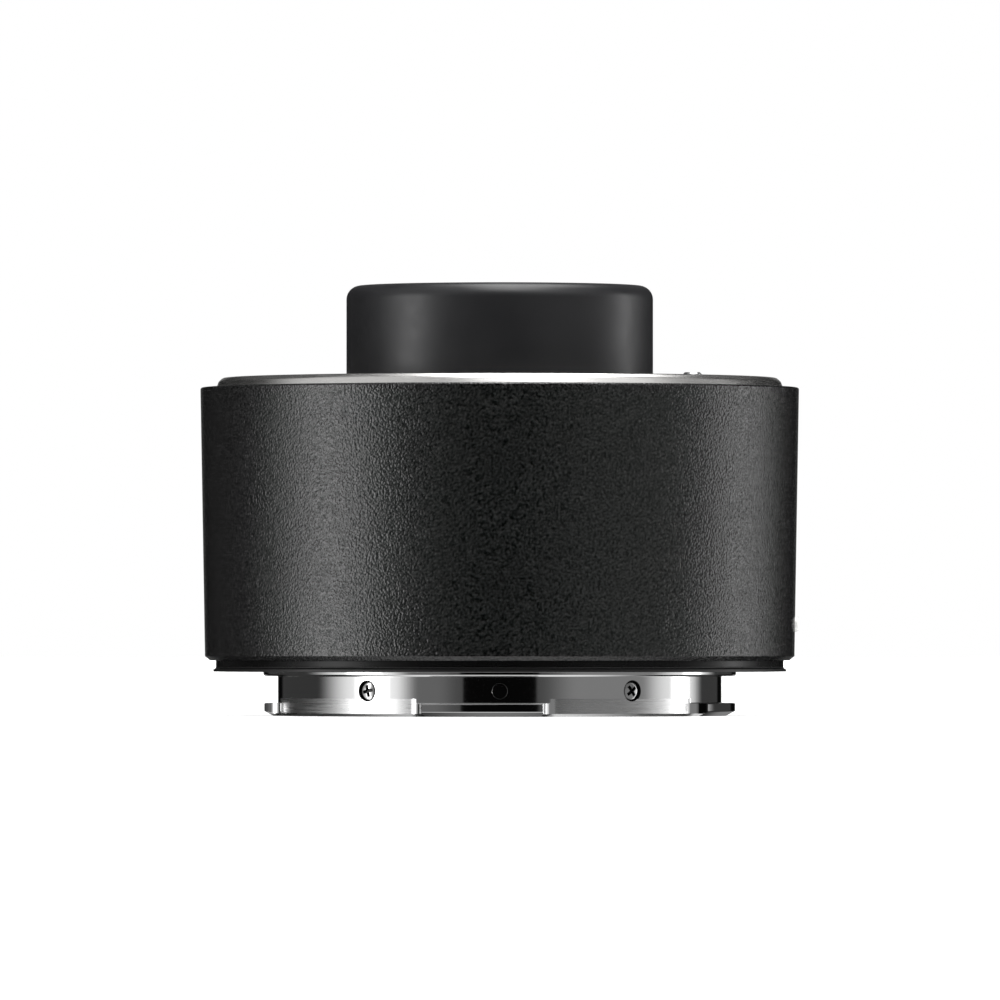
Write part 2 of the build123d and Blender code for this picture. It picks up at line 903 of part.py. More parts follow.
# Front mount ring: the claws reach in from its bore, and stop short of its front face
with BuildPart() as front_mount_ring:
    turned(
        [
            (throat_radius, claw_bottom),
            (throat_radius, mount_to_mount - throat_chamfer),
            (throat_radius + throat_chamfer, mount_to_mount),
            (front_ring_radius, mount_to_mount),
            (front_ring_radius, ring_seat),
            (spring_pocket_radius, ring_seat),
            (spring_pocket_radius, claw_bottom),
        ]
    )
    fillet(
        front_mount_ring.edges().filter_by(GeomType.CIRCLE).group_by(Axis.Z)[-1].sort_by(SortBy.RADIUS)[-1],
        front_ring_round,
    )
    for start, end in claw_bearings:
        turned(
            ring(throat_radius + throat_chamfer, claw_radius, claw_bottom, claw_top),
            start=start,
            sweep=end - start,
        )
    for bearing in front_screws:
        axial_hole(
            bearing,
            ring_middle,
            mount_to_mount,
            mount_screw_radius + bore_gap,
            front_ring_height,
            -1,
        )
        with Locations(outward(bearing, ring_middle, mount_to_mount)):
            Cone(
                mount_screw_radius + bore_gap,
                screw_head_radius + snug,
                screw_head_height + snug,
                align=(Align.CENTER, Align.CENTER, Align.MAX),
                mode=Mode.SUBTRACT,
            )
    axial_hole(
        lock_bearing, ring_middle, mount_to_mount, lock_pin_radius + sliding_gap, front_ring_height, -1
    )
    axial_hole(dot_bearing, ring_middle, mount_to_mount, dot_radius + snug, dot_sunk, -1)
write(front_mount_ring, "front_mount_ring")

with BuildPart() as front_index_dot:
    with Locations(outward(dot_bearing, ring_middle, mount_to_mount - dot_sunk)):
        Cylinder(dot_radius, dot_sunk - snug, align=(Align.CENTER, Align.CENTER, Align.MIN))
write(front_index_dot, "front_index_dot")

with BuildPart() as front_mount_screws:
    for bearing in front_screws:
        fixed_screw(
            bearing,
            ring_middle,
            mount_to_mount - snug,
            -1,
            mount_screw_radius,
            mount_screw_length,
            screw_head_radius,
            screw_head_height,
            True,
        )
write(front_mount_screws, "front_mount_screws")

# Front mount spring: a stamped band under the ring, with a tongue behind each claw
with BuildPart() as front_mount_spring:
    band_outer = spring_pocket_radius - bore_gap
    band_inner = band_outer - claw_spring_band
    turned(ring(band_outer, band_inner, spring_seat, claw_bottom))
    for start, end in claw_bearings:
        turned(
            ring(band_inner + snug, claw_radius + claw_spring_inset, spring_seat, claw_bottom),
            start=start + claw_spring_margin_angle,
            sweep=end - start - 2 * claw_spring_margin_angle,
        )
write(front_mount_spring, "front_mount_spring")

# Front shroud: the floor of the well round the nose, on a skirt that stands on the barrel's flange
with BuildPart() as front_shroud:
    shroud_radius = chassis_bore_radius - shroud_gap
    turned(
        [
            (nose_radius + shroud_gap, shroud_bottom),
            (shroud_radius - shroud_wall, shroud_bottom),
            (shroud_radius - shroud_wall, tube_flange_top),
            (shroud_radius, tube_flange_top),
            (shroud_radius, shroud_floor),
            (nose_radius + shroud_gap, shroud_floor),
        ]
    )
    for bearing in optics_screw_places:
        with Locations(outward(bearing, optics_screw_circle, tube_flange_top)):
            Cylinder(
                boss_radius,
                shroud_bottom - tube_flange_top,
                align=(Align.CENTER, Align.CENTER, Align.MIN),
            )
    for bearing in optics_screw_places:
        axial_hole(
            bearing, optics_screw_circle, shroud_floor, optics_head_radius + bore_gap, optics_head_recess, -1
        )
        axial_hole(
            bearing,
            optics_screw_circle,
            shroud_floor,
            optics_screw_radius + bore_gap,
            shroud_floor - tube_flange_top,
            -1,
        )
    turned(
        ring(
            front_block_outer + bore_gap,
            front_block_inner - bore_gap,
            shroud_bottom - overrun,
            shroud_floor + overrun,
        ),
        start=-front_block_half_angle - bore_gap,
        sweep=2 * (front_block_half_angle + bore_gap),
        mode=Mode.SUBTRACT,
    )
write(front_shroud, "front_shroud")

with BuildPart() as optics_screws:
    for bearing in optics_screw_places:
        fixed_screw(
            bearing,
            optics_screw_circle,
            shroud_floor - optics_head_recess + optics_head_height,
            -1,
            optics_screw_radius,
            shroud_floor - optics_head_recess + optics_head_height - web_bottom - snug,
            optics_head_radius,
            optics_head_height,
            False,
        )
write(optics_screws, "optics_screws")

# Front contacts: sprung pins in a curved block. Each pin's collar is held under a narrower bore.
pin_collar_top = front_block_top - pin_guide
collar_bottom = pin_collar_top - pin_collar_play - pin_collar_height
spring_foot = tube_flange_top + snug + flex_thickness
contact_spring_length = collar_bottom - spring_foot
with BuildPart() as front_contact_block:
    turned(
        ring(front_block_outer, front_block_inner, tube_flange_top + snug, front_block_top),
        start=-front_block_half_angle,
        sweep=2 * front_block_half_angle,
    )
    turned(
        ring(
            front_block_outer + front_block_ear,
            front_block_outer - overrun,
            shroud_bottom - front_block_ear_height,
            shroud_bottom,
        ),
        start=-front_block_half_angle,
        sweep=2 * front_block_half_angle,
    )
    turned(
        ring(
            flex_outer + bore_gap,
            flex_inner - bore_gap,
            tube_flange_top,
            tube_flange_top + snug + flex_thickness,
        ),
        start=-flex_half_angle - flex_end_angle,
        sweep=2 * (flex_half_angle + flex_end_angle),
        mode=Mode.SUBTRACT,
    )
    for bearing in contact_bearings:
        axial_hole(
            bearing,
            contact_circle,
            front_block_top + overrun,
            pin_tip_radius + bore_gap,
            overrun + pin_guide + overrun,
            -1,
        )
        axial_hole(
            bearing,
            contact_circle,
            pin_collar_top,
            pin_collar_radius + bore_gap,
            pin_collar_top - tube_flange_top,
            -1,
        )
write(front_contact_block, "front_contact_block")

with BuildPart() as front_contact_pins:
    for bearing in contact_bearings:
        with Locations(outward(bearing, contact_circle, collar_bottom)):
            Cylinder(
                pin_collar_radius, pin_collar_height, align=(Align.CENTER, Align.CENTER, Align.MIN)
            )
            Cylinder(
                pin_tip_radius,
                front_block_top + pin_proud - collar_bottom,
                align=(Align.CENTER, Align.CENTER, Align.MIN),
            )
write(front_contact_pins, "front_contact_pins")

with BuildPart() as contact_springs:
    for bearing in contact_bearings:
        with Locations(outward(bearing, contact_circle, spring_foot)):
            Cylinder(
                pin_collar_radius - bore_gap,
                contact_spring_length,
                align=(Align.CENTER, Align.CENTER, Align.MIN),
            )
            Cylinder(
                pin_collar_radius - bore_gap - contact_spring_wall,
                contact_spring_length,
                align=(Align.CENTER, Align.CENTER, Align.MIN),
                mode=Mode.SUBTRACT,
            )
write(contact_springs, "contact_springs")

# Nose: a thick tube with a rounded front edge, a bevelled lip over the lens barrel and a foot that
# the shroud holds down
with BuildPart() as nose_shell:
    turned(
        [
            (nose_bore_radius, tube_flange_top),
            (nose_foot_radius, tube_flange_top),
            (nose_foot_radius, shroud_bottom),
            (nose_radius, shroud_bottom),
            (nose_radius, nose_top),
            (nose_lip_radius + nose_bevel_width, nose_top),
            (nose_lip_radius, nose_top - nose_bevel_height),
            (nose_lip_radius, nose_top - nose_bevel_height - nose_lip_height),
            (nose_bore_radius, nose_top - nose_bevel_height - nose_lip_height),
        ]
    )
    fillet(
        nose_shell.edges().filter_by(GeomType.CIRCLE).group_by(Axis.Z)[-1].sort_by(SortBy.RADIUS)[-1],
        nose_edge_round,
    )
write(nose_shell, "nose_shell")

# Thicknesses on the axis of the positive elements
front_thickness = front_edge + bulge(front_curve, front_back_curve, front_rim)
doublet_positive_thickness = doublet_edge + bulge(doublet_joint_curve, doublet_back_curve, doublet_rim)
middle_positive_thickness = middle_edge + bulge(middle_joint_curve, middle_back_curve, middle_rim)
rear_thickness = rear_edge + bulge(rear_curve, rear_back_curve, rear_rim)

# Poles of the lens surfaces, from the front to the back
front_pole = nose_top - glass_below_nose
front_back_pole = front_pole - front_thickness
doublet_pole = front_back_pole - air_behind_front
doublet_joint_pole = doublet_pole - doublet_negative_thickness
doublet_back_pole = doublet_joint_pole - doublet_positive_thickness
middle_pole = doublet_back_pole - air_behind_doublet
middle_joint_pole = middle_pole - middle_negative_thickness
middle_back_pole = middle_joint_pole - middle_positive_thickness
field_pole = middle_back_pole - air_behind_middle
field_back_pole = field_pole - field_thickness
rear_pole = field_back_pole - air_behind_field
rear_back_pole = rear_pole - rear_thickness

# Seats that the lens barrel, its spacers and its rings give to the glass
tube_end = rear_back_pole - tube_behind_glass
front_shoulder = doublet_pole - sag(doublet_curve, doublet_rim) + snug
ledge_top = doublet_back_pole - sag(doublet_back_curve, ledge_radius) - snug
ledge_bottom = middle_pole - sag(middle_curve, middle_rim) + snug
field_shoulder = field_pole - sag(field_curve, field_rim) + snug
rear_shoulder = field_back_pole - sag(field_back_curve, field_rim) - spacer_step

# Lens barrel: bores that widen to both ends from a ledge between the doublets
with BuildPart() as lens_barrel:
    turned(
        [
            (tube_radius, tube_top),
            (front_rim + bore_gap, tube_top),
            (front_rim + bore_gap, front_shoulder),
            (doublet_rim + bore_gap, front_shoulder),
            (doublet_rim + bore_gap, ledge_top),
            (ledge_radius, ledge_top),
            (ledge_radius, ledge_bottom),
            (middle_rim + bore_gap, ledge_bottom),
            (middle_rim + bore_gap, field_shoulder),
            (field_rim + bore_gap, field_shoulder),
            (field_rim + bore_gap, rear_shoulder),
            (rear_rim + bore_gap, rear_shoulder),
            (rear_rim + bore_gap, tube_end),
            (tube_rear_radius, tube_end),
            (tube_rear_radius, optics_seat),
            (tube_flange_radius, optics_seat),
            (tube_flange_radius, tube_flange_top),
            (tube_radius, tube_flange_top),
        ]
    )
    for bearing in optics_screw_places:
        axial_hole(
            bearing,
            optics_screw_circle,
            tube_flange_top,
            optics_screw_radius + bore_gap,
            tube_flange_height,
            -1,
        )
    with Locations(outward(0, flex_circle + flex_thickness / 2, optics_seat)):
        Box(
            flex_thickness + 2 * bore_gap,
            flex_width + 2 * bore_gap,
            tube_flange_height,
            align=(Align.CENTER, Align.CENTER, Align.MIN),
            mode=Mode.SUBTRACT,
        )
write(lens_barrel, "lens_barrel")

with BuildPart() as front_element:
    lens(front_rim, front_pole, front_thickness, front_curve, front_back_curve)
write(front_element, "front_element")

with BuildPart() as front_doublet_negative:
    lens(doublet_rim, doublet_pole, doublet_negative_thickness, doublet_curve, doublet_joint_curve)
write(front_doublet_negative, "front_doublet_negative")

with BuildPart() as front_doublet_positive:
    lens(
        doublet_rim,
        doublet_joint_pole,
        doublet_positive_thickness,
        doublet_joint_curve,
        doublet_back_curve,
    )
write(front_doublet_positive, "front_doublet_positive")

with BuildPart() as middle_doublet_negative:
    lens(middle_rim, middle_pole, middle_negative_thickness, middle_curve, middle_joint_curve)
write(middle_doublet_negative, "middle_doublet_negative")

with BuildPart() as middle_doublet_positive:
    lens(middle_rim, middle_joint_pole, middle_positive_thickness, middle_joint_curve, middle_back_curve)
write(middle_doublet_positive, "middle_doublet_positive")

with BuildPart() as field_element:
    lens(field_rim, field_pole, field_thickness, field_curve, field_back_curve)
write(field_element, "field_element")

with BuildPart() as rear_element:
    lens(rear_rim, rear_pole, rear_thickness, rear_curve, rear_back_curve)
write(rear_element, "rear_element")

with BuildPart() as front_retaining_ring:
    retainer_inner = front_rim - retainer_width
    retainer_bottom = front_pole - sag(front_curve, retainer_inner) + snug
    retainer_top = tube_top - retainer_recess
    turned(
        [
            (retainer_inner, retainer_bottom),
            (front_rim, retainer_bottom),
            (front_rim, retainer_top),
            (retainer_inner + retainer_bevel, retainer_top),
            (retainer_inner, retainer_top - retainer_bevel),
        ]
    )
write(front_retaining_ring, "front_retaining_ring")

with BuildPart() as front_spacer:
    turned(
        ring(
            front_rim,
            front_rim - spacer_width,
            front_shoulder,
            front_back_pole - sag(front_back_curve, front_rim) - snug,
        )
    )
write(front_spacer, "front_spacer")

with BuildPart() as middle_spacer:
    middle_spacer_inner = middle_rim - middle_spacer_width
    turned(
        ring(
            middle_rim,
            middle_spacer_inner,
            field_pole - sag(field_curve, middle_rim) + snug,
            middle_back_pole - sag(middle_back_curve, middle_spacer_inner) - snug,
        )
    )
write(middle_spacer, "middle_spacer")

with BuildPart() as rear_spacer:
    rear_spacer_inner = field_rim - rear_spacer_width
    rear_spacer_top = field_back_pole - sag(field_back_curve, rear_spacer_inner) - snug
    rear_spacer_bottom = rear_pole - sag(rear_curve, rear_spacer_inner) + snug
    turned(
        [
            (rear_spacer_inner, rear_spacer_bottom),
            (rear_rim, rear_spacer_bottom),
            (rear_rim, rear_shoulder - snug),
            (field_rim, rear_shoulder - snug),
            (field_rim, rear_spacer_top),
            (rear_spacer_inner, rear_spacer_top),
        ]
    )
write(rear_spacer, "rear_spacer")

with BuildPart() as rear_retaining_ring:
    rear_retainer_inner = rear_rim - rear_retainer_width
    rear_retainer_top = rear_back_pole - sag(rear_back_curve, rear_retainer_inner) - snug
    turned(
        [
            (rear_retainer_inner, rear_retainer_top),
            (rear_rim, rear_retainer_top),
            (rear_rim, tube_end + retainer_recess),
            (rear_retainer_inner + retainer_bevel, tube_end + retainer_recess),
            (rear_retainer_inner, tube_end + retainer_recess + retainer_bevel),
        ]
    )
write(rear_retaining_ring, "rear_retaining_ring")

# Lens release. The carrier slides in the chassis pocket, with the pin standing in its top and the
# slider's stem in its side.
carrier_top = ring_seat - sliding_gap
carrier_bottom = carrier_top - carrier_height
with BuildPart() as lock_carrier:
    with Locations(outward(lock_bearing, ring_middle, carrier_bottom)):
        Box(
            carrier_depth,
            carrier_width,
            carrier_height,
            align=(Align.CENTER, Align.CENTER, Align.MIN),
        )
    axial_hole(
        lock_bearing, ring_middle, carrier_top, lock_tail_radius + snug, lock_tail_length + snug, -1
    )
    with Locations(outward(lock_bearing, ring_middle + carrier_depth / 2, stem_centre)):
        Box(
            2 * (stem_reach + snug),
            stem_size + 2 * snug,
            stem_size + 2 * snug,
            mode=Mode.SUBTRACT,
        )
write(lock_carrier, "lock_carrier")

with BuildPart() as lock_pin:
    with Locations(outward(lock_bearing, ring_middle, carrier_top)):
        Cylinder(
            lock_pin_radius,
            mount_to_mount + lock_pin_proud - carrier_top,
            align=(Align.CENTER, Align.CENTER, Align.MIN),
        )
        Cylinder(lock_tail_radius, lock_tail_length, align=(Align.CENTER, Align.CENTER, Align.MAX))
    chamfer(lock_pin.edges().group_by(Axis.Z)[-1], lock_pin_chamfer)
write(lock_pin, "lock_pin")

# Lock spring: a coil of round wire between the pocket's floor and the carrier
with BuildPart() as lock_spring:
    coil_height = lock_spring_length - 2 * lock_spring_wire
    coil_bottom = pocket_floor + lock_spring_wire
    coil_turn = radians(lock_bearing - quarter_angle)
    coil_centre = (ring_middle * cos(coil_turn), ring_middle * sin(coil_turn), coil_bottom)
    coil = Edge.make_helix(
        coil_height / lock_spring_turns, coil_height, lock_spring_radius, center=coil_centre
    )
    with BuildSketch(Plane(origin=coil @ 0, z_dir=coil % 0)):
        Circle(lock_spring_wire)
    sweep(path=coil, is_frenet=True)
write(lock_spring, "lock_spring")

# Release slider: a thumb piece with ridges, lying on a flat bed on the shell
with BuildPart() as release_slider:
    slider_plane = facing(lock_bearing, slider_bed + bore_gap, stem_centre)
    with BuildSketch(slider_plane):
        RectangleRounded(slider_width, slider_height, slider_round)
    extrude(amount=slider_thickness - ridge_height)
    with BuildSketch(slider_plane.offset(slider_thickness - ridge_height)):
        with GridLocations(0, ridge_pitch, 1, ridge_count):
            Rectangle(slider_width - 2 * slider_round, ridge_width)
    extrude(amount=ridge_height)
    with BuildSketch(slider_plane):
        Rectangle(stem_size, stem_size)
    extrude(amount=-(slider_bed + bore_gap - ring_middle - carrier_depth / 2 + stem_reach))
write(release_slider, "release_slider")
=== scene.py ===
# %% [markdown]
# # A camera teleconverter, dressed for its photograph
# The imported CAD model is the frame: it fixes every size, and nothing here moves it. This script gives each
# piece its finish. Where the CAD mesh is too coarse for a polished or painted curve, it makes a finer
# surface in the same place. It is written as a lesson, so each step says what it makes and why.

# %% Load the frame
import json

import bpy
import numpy as np
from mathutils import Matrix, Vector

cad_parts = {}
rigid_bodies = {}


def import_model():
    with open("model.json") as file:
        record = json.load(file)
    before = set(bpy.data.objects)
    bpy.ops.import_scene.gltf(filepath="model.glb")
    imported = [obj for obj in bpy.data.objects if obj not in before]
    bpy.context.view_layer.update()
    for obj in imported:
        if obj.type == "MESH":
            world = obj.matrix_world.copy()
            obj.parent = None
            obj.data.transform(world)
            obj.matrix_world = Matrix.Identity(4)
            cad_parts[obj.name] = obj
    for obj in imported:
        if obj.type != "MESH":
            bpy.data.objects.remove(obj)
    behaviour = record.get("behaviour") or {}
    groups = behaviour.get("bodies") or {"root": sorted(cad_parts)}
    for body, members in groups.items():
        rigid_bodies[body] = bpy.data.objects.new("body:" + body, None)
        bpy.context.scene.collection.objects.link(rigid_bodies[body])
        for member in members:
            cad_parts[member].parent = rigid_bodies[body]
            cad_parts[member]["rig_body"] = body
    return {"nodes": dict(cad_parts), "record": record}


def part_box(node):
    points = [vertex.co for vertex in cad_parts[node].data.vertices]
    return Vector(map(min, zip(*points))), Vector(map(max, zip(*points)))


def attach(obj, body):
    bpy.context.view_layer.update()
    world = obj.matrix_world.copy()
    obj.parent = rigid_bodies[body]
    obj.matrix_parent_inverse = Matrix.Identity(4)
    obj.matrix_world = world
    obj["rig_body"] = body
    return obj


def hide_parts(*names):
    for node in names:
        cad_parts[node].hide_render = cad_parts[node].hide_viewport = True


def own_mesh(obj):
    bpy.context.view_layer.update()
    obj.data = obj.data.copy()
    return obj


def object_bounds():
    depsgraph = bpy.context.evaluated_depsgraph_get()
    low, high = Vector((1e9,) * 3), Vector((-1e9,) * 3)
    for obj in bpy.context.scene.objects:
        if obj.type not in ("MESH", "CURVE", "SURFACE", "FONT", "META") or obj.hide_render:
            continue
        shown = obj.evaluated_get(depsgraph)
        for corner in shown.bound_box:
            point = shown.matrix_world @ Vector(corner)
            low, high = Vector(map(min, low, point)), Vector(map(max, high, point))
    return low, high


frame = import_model()
cad_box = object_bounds()
print("nodes in the frame:", len(frame["nodes"]))

# %% [markdown]
# ## Units and bearings
# The pieces below are written in millimetres, and Blender works in metres. A bearing is an angle about the
# optical axis Z, counted from the side that faces the camera (-Y) towards +X, as in the CAD source.

# %% Units
MM = 0.001


def around(bearing):
    """Unit vector (x, y, 0) at a bearing in degrees: x is its sine and y is minus its cosine."""
    turn = np.radians(bearing)
    return np.stack([np.sin(turn), -np.cos(turn), np.zeros_like(turn)], axis=-1)


def box_mm(node):
    """Lowest and highest corner of a CAD node, in millimetres."""
    low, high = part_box(node)
    return np.array(low) / MM, np.array(high) / MM


print("unit vector at bearing 90:", around(90.0).round(3))

# %% [markdown]
# ## The camera
# The photograph was taken with a long lens from far away, with the camera about level with the rear mount.
# The round edges of the object bulge a little up at the top and down at the bottom, which gives the eye
# level and the distance. The camera looks slightly up, so that the object sits in the middle of the frame.

# %% Camera
EYE_HEIGHT = 3.1
EYE_DISTANCE = 1500.0
EYE_ASIDE = 0.03
PIXELS_PER_MM = 9.18
PICTURE = 1000
EYE_LEVEL_PIXEL = 643.35
SENSOR = 36.0
CLIP_START, CLIP_END = 0.05, 50.0

focal_pixels = PIXELS_PER_MM * EYE_DISTANCE
pitch = np.arctan((EYE_LEVEL_PIXEL - PICTURE / 2) / focal_pixels)
camera_data = bpy.data.cameras.new("camera")
camera_data.sensor_width = SENSOR
camera_data.lens = focal_pixels / PICTURE * SENSOR
camera_data.clip_start, camera_data.clip_end = CLIP_START, CLIP_END
camera = bpy.data.objects.new("camera", camera_data)
camera.location = (EYE_ASIDE * MM, -EYE_DISTANCE * MM, EYE_HEIGHT * MM)
camera.rotation_euler = (np.pi / 2 + pitch, 0.0, 0.0)
bpy.context.scene.collection.objects.link(camera)
bpy.context.scene.camera = camera
bpy.context.scene.view_settings.view_transform = "Standard"
print("lens of", round(camera_data.lens, 1), "mm")

# %% [markdown]
# ## Surfaces from a profile
# Nearly every piece here was made on a lathe. Such a piece is a function of two parameters: the place along
# its profile and the bearing. `rounded` turns the corners of a profile into small arcs, because real edges
# are never sharp, and it adds a support point beside each arc so that smooth shading stays flat on flats.

# %% Profiles
EDGE = 0.04
ARC_POINTS = 5
SUPPORT, SUPPORT_SHARE = 0.03, 0.04


def rounded(corners, radii=EDGE, closed=True, share=0.45, steps=ARC_POINTS):
    """Profile with its corners rounded. At each corner, an arc of the given radius touches both sides: its
    centre lies on the corner's bisector at radius / sin(half angle). An arc takes at most a share of the
    shorter side. Ends of an open profile stay."""
    p = np.array(corners, float)
    radius = np.broadcast_to(np.array(radii, float), len(p))
    back = np.roll(p, 1, axis=0) - p
    ahead = np.roll(p, -1, axis=0) - p
    room = np.minimum(np.linalg.norm(back, axis=1), np.linalg.norm(ahead, axis=1))
    back /= np.linalg.norm(back, axis=1)[:, None]
    ahead /= np.linalg.norm(ahead, axis=1)[:, None]
    half = np.arccos(np.clip((back * ahead).sum(1), -1, 1)) / 2
    radius = np.minimum(radius, share * room * np.tan(half))
    bisector = back + ahead
    bisector /= np.linalg.norm(bisector, axis=1)[:, None]
    centre = p + bisector * (radius / np.sin(half))[:, None]
    reach = (radius / np.tan(half))[:, None]
    first = p + back * reach - centre
    last = p + ahead * reach - centre
    start = np.arctan2(first[:, 1], first[:, 0])
    sweep = (np.arctan2(last[:, 1], last[:, 0]) - start + np.pi) % (2 * np.pi) - np.pi
    angle = start[:, None] + sweep[:, None] * np.linspace(0, 1, steps)
    arc = centre[:, None] + radius[:, None, None] * np.stack([np.cos(angle), np.sin(angle)], axis=-1)
    extra = np.minimum(SUPPORT, SUPPORT_SHARE * room)[:, None]
    before = (p + back * (reach + extra))[:, None]
    after = (p + ahead * (reach + extra))[:, None]
    path = np.concatenate([before, arc, after], axis=1)
    if closed:
        return path.reshape(-1, 2)
    return np.concatenate([p[:1], path[1:-1].reshape(-1, 2), p[-1:]])


def turns(count=360, edges=(), width=0.04):
    """Bearings all the way round, with a close pair at each edge so that a step there is steep."""
    even = np.arange(count) * 360.0 / count
    pairs = np.array([[edge - width, edge + width] for edge in edges]).reshape(-1) % 360
    return np.unique(np.concatenate([even, pairs]))


print("points of a square with round corners:", len(rounded([(0, 0), (1, 0), (1, 1), (0, 1)])))

# %% [markdown]
# ## Turned surfaces
# `lathe` gives points and faces as whole arrays. A closed profile makes a ring, and an open one that starts
# and ends on the axis makes a solid with a single point at each pole. `placed` aims a shape somewhere, and
# `joined` puts several shapes into one.

# %% Turned surfaces
ON_AXIS = 1e-9
AXIS = np.array([0.0, 0.0, 1.0])


def lathe(profile, bearings=None):
    """Surface (radius * sin b, -radius * cos b, height) over a profile (n, 2) or one profile per bearing
    (m, n, 2). Returns points and faces of four corners, where a pole repeats its point."""
    bearings = turns() if bearings is None else bearings
    sections = np.broadcast_to(profile, (len(bearings),) + np.shape(profile)[-2:])
    flat = around(bearings)
    points = flat[:, None, :] * sections[..., :1]
    points[..., 2] = sections[..., 1]
    m, n = points.shape[:2]
    closed = not (np.all(sections[:, 0, 0] < ON_AXIS) and np.all(sections[:, -1, 0] < ON_AXIS))
    index = np.arange(m * n).reshape(m, n)
    across = np.roll(index, -1, axis=0)
    if closed:
        a, b = index, np.roll(index, -1, axis=1)
        c, d = np.roll(across, -1, axis=1), across
    else:
        a, b, c, d = index[:, :-1], index[:, 1:], across[:, 1:], across[:, :-1]
    return points.reshape(-1, 3), np.stack([a, b, c, d], axis=-1).reshape(-1, 4)


def placed(shape, origin, out):
    """Moves a shape made about Z so that its Z points along the unit vector out, from an origin."""
    points, faces = shape
    out = np.array(out, float)
    side = np.cross(out, AXIS) if abs(out[2]) < 0.9 else np.array([1.0, 0.0, 0.0])
    side /= np.linalg.norm(side)
    up = np.cross(out, side)
    return np.array(origin) + points @ np.stack([side, up, out]), faces


def joined(shapes):
    """Several shapes as one: the points one after another, and the faces counted on from them."""
    counts = np.cumsum([0] + [len(points) for points, faces in shapes[:-1]])
    points = np.concatenate([points for points, faces in shapes])
    return points, np.concatenate([faces + first for first, (_, faces) in zip(counts, shapes)])


print("faces of a plain ring:", len(lathe([(1, 0), (2, 0), (2, 1), (1, 1)])[1]))

# %% [markdown]
# ## From arrays to a mesh
# `build` merges points that coincide and puts the arrays into a mesh with foreach_set. It turns the faces
# outwards by the sign of the volume: each face is cut into two triangles a, b, c and a, c, d, and the sum
# of (a x b) . c over all of them is positive when the faces look out. Edges sharper than an angle are
# marked, so that one mesh can be both smooth and crisp.

# %% Meshes
SHARP = np.radians(32)
MERGE_DIGITS = 7


def wear(piece, material):
    """Gives a piece or a CAD node one material."""
    piece.data.materials.clear()
    piece.data.materials.append(material)


def build(name, shape):
    """Makes a smooth mesh object from points in millimetres and four-cornered faces."""
    points, faces = shape
    points, inverse = np.unique(np.round(points, MERGE_DIGITS), axis=0, return_inverse=True)
    faces = inverse.reshape(-1)[faces]
    keep = (np.sort(faces, axis=1)[:, 1:] != np.sort(faces, axis=1)[:, :-1]).sum(1) >= 2
    faces = faces[keep]
    a, b, c, d = (points[faces[:, corner]] for corner in range(4))
    volume = (np.cross(a, b) * c).sum() + (np.cross(a, c) * d).sum()
    if volume < 0:
        faces = faces[:, ::-1]
    same = faces == np.roll(faces, 1, axis=1)
    total = 4 - same.sum(1)
    corners = faces[~same]
    mesh = bpy.data.meshes.new(name)
    mesh.vertices.add(len(points))
    mesh.vertices.foreach_set("co", (points * MM).reshape(-1))
    mesh.loops.add(len(corners))
    mesh.loops.foreach_set("vertex_index", corners.astype(np.int32))
    mesh.polygons.add(len(total))
    mesh.polygons.foreach_set("loop_start", (np.cumsum(total) - total).astype(np.int32))
    mesh.polygons.foreach_set("loop_total", total.astype(np.int32))
    mesh.update(calc_edges=True)
    mesh.validate()
    mesh.shade_smooth()
    mesh.set_sharp_from_angle(angle=SHARP)
    piece = bpy.data.objects.new(name, mesh)
    bpy.context.scene.collection.objects.link(piece)
    return piece


# %% [markdown]
# ## Holes and recesses
# Screw holes and the crosses in screw heads cut across a turned surface, so they are taken out with a
# Boolean modifier. Its result is kept as the mesh, and the cutter's own finish stays on the faces it leaves:
# a dark metal that is painted shade inside the holes and crosses.

# %% Carving


def carve(piece, cutter, finishes_of_both=()):
    """Takes the cutter out of the piece, keeps the result as its mesh and deletes the cutter. With two
    finishes given, the first stays on the piece and the second goes to the faces that the cutter leaves."""
    for carved, material in zip((piece, cutter), finishes_of_both):
        wear(carved, material)
    modifier = piece.modifiers.new("carve", "BOOLEAN")
    modifier.operation = "DIFFERENCE"
    modifier.solver = "EXACT"
    modifier.material_mode = "TRANSFER"
    modifier.object = cutter
    result = bpy.data.meshes.new_from_object(piece.evaluated_get(bpy.context.evaluated_depsgraph_get()))
    piece.modifiers.clear()
    piece.data = result
    result.shade_smooth()
    result.set_sharp_from_angle(angle=SHARP)
    bpy.data.objects.remove(cutter)
    return piece


# %% [markdown]
# ## Helpers for materials
# Every finish is a Principled shader whose colour, roughness and bump come from procedural textures on
# Object coordinates. A value that is the same all over stays on the shader's own socket.

# %% Material helpers


def finish(name, colour, roughness, metallic=0.0, **sockets):
    """New material with a Principled shader. Returns the material, its node tree and the shader."""
    material = bpy.data.materials.new(name)
    material.use_nodes = True
    tree = material.node_tree
    shader = tree.nodes["Principled BSDF"]
    shader.inputs["Base Color"].default_value = (*colour, 1.0)
    shader.inputs["Roughness"].default_value = roughness
    shader.inputs["Metallic"].default_value = metallic
    for socket, value in sockets.items():
        shader.inputs[socket.replace("_", " ")].default_value = value
    return material, tree, shader


def texture(tree, kind, scale, **values):
    """Procedural texture on Object coordinates, with its scale in features per metre."""
    coordinates = tree.nodes.new("ShaderNodeTexCoord")
    node = tree.nodes.new(kind)
    tree.links.new(coordinates.outputs["Object"], node.inputs["Vector"])
    node.inputs["Scale"].default_value = scale
    for socket, value in values.items():
        node.inputs[socket].default_value = value
    return node


def ranged(tree, source, low, high, start=0.0, end=1.0):
    """Carries a 0 to 1 output over to the range low to high."""
    node = tree.nodes.new("ShaderNodeMapRange")
    tree.links.new(source, node.inputs["Value"])
    node.inputs["From Min"].default_value = start
    node.inputs["From Max"].default_value = end
    node.inputs["To Min"].default_value = low
    node.inputs["To Max"].default_value = high
    return node.outputs["Result"]


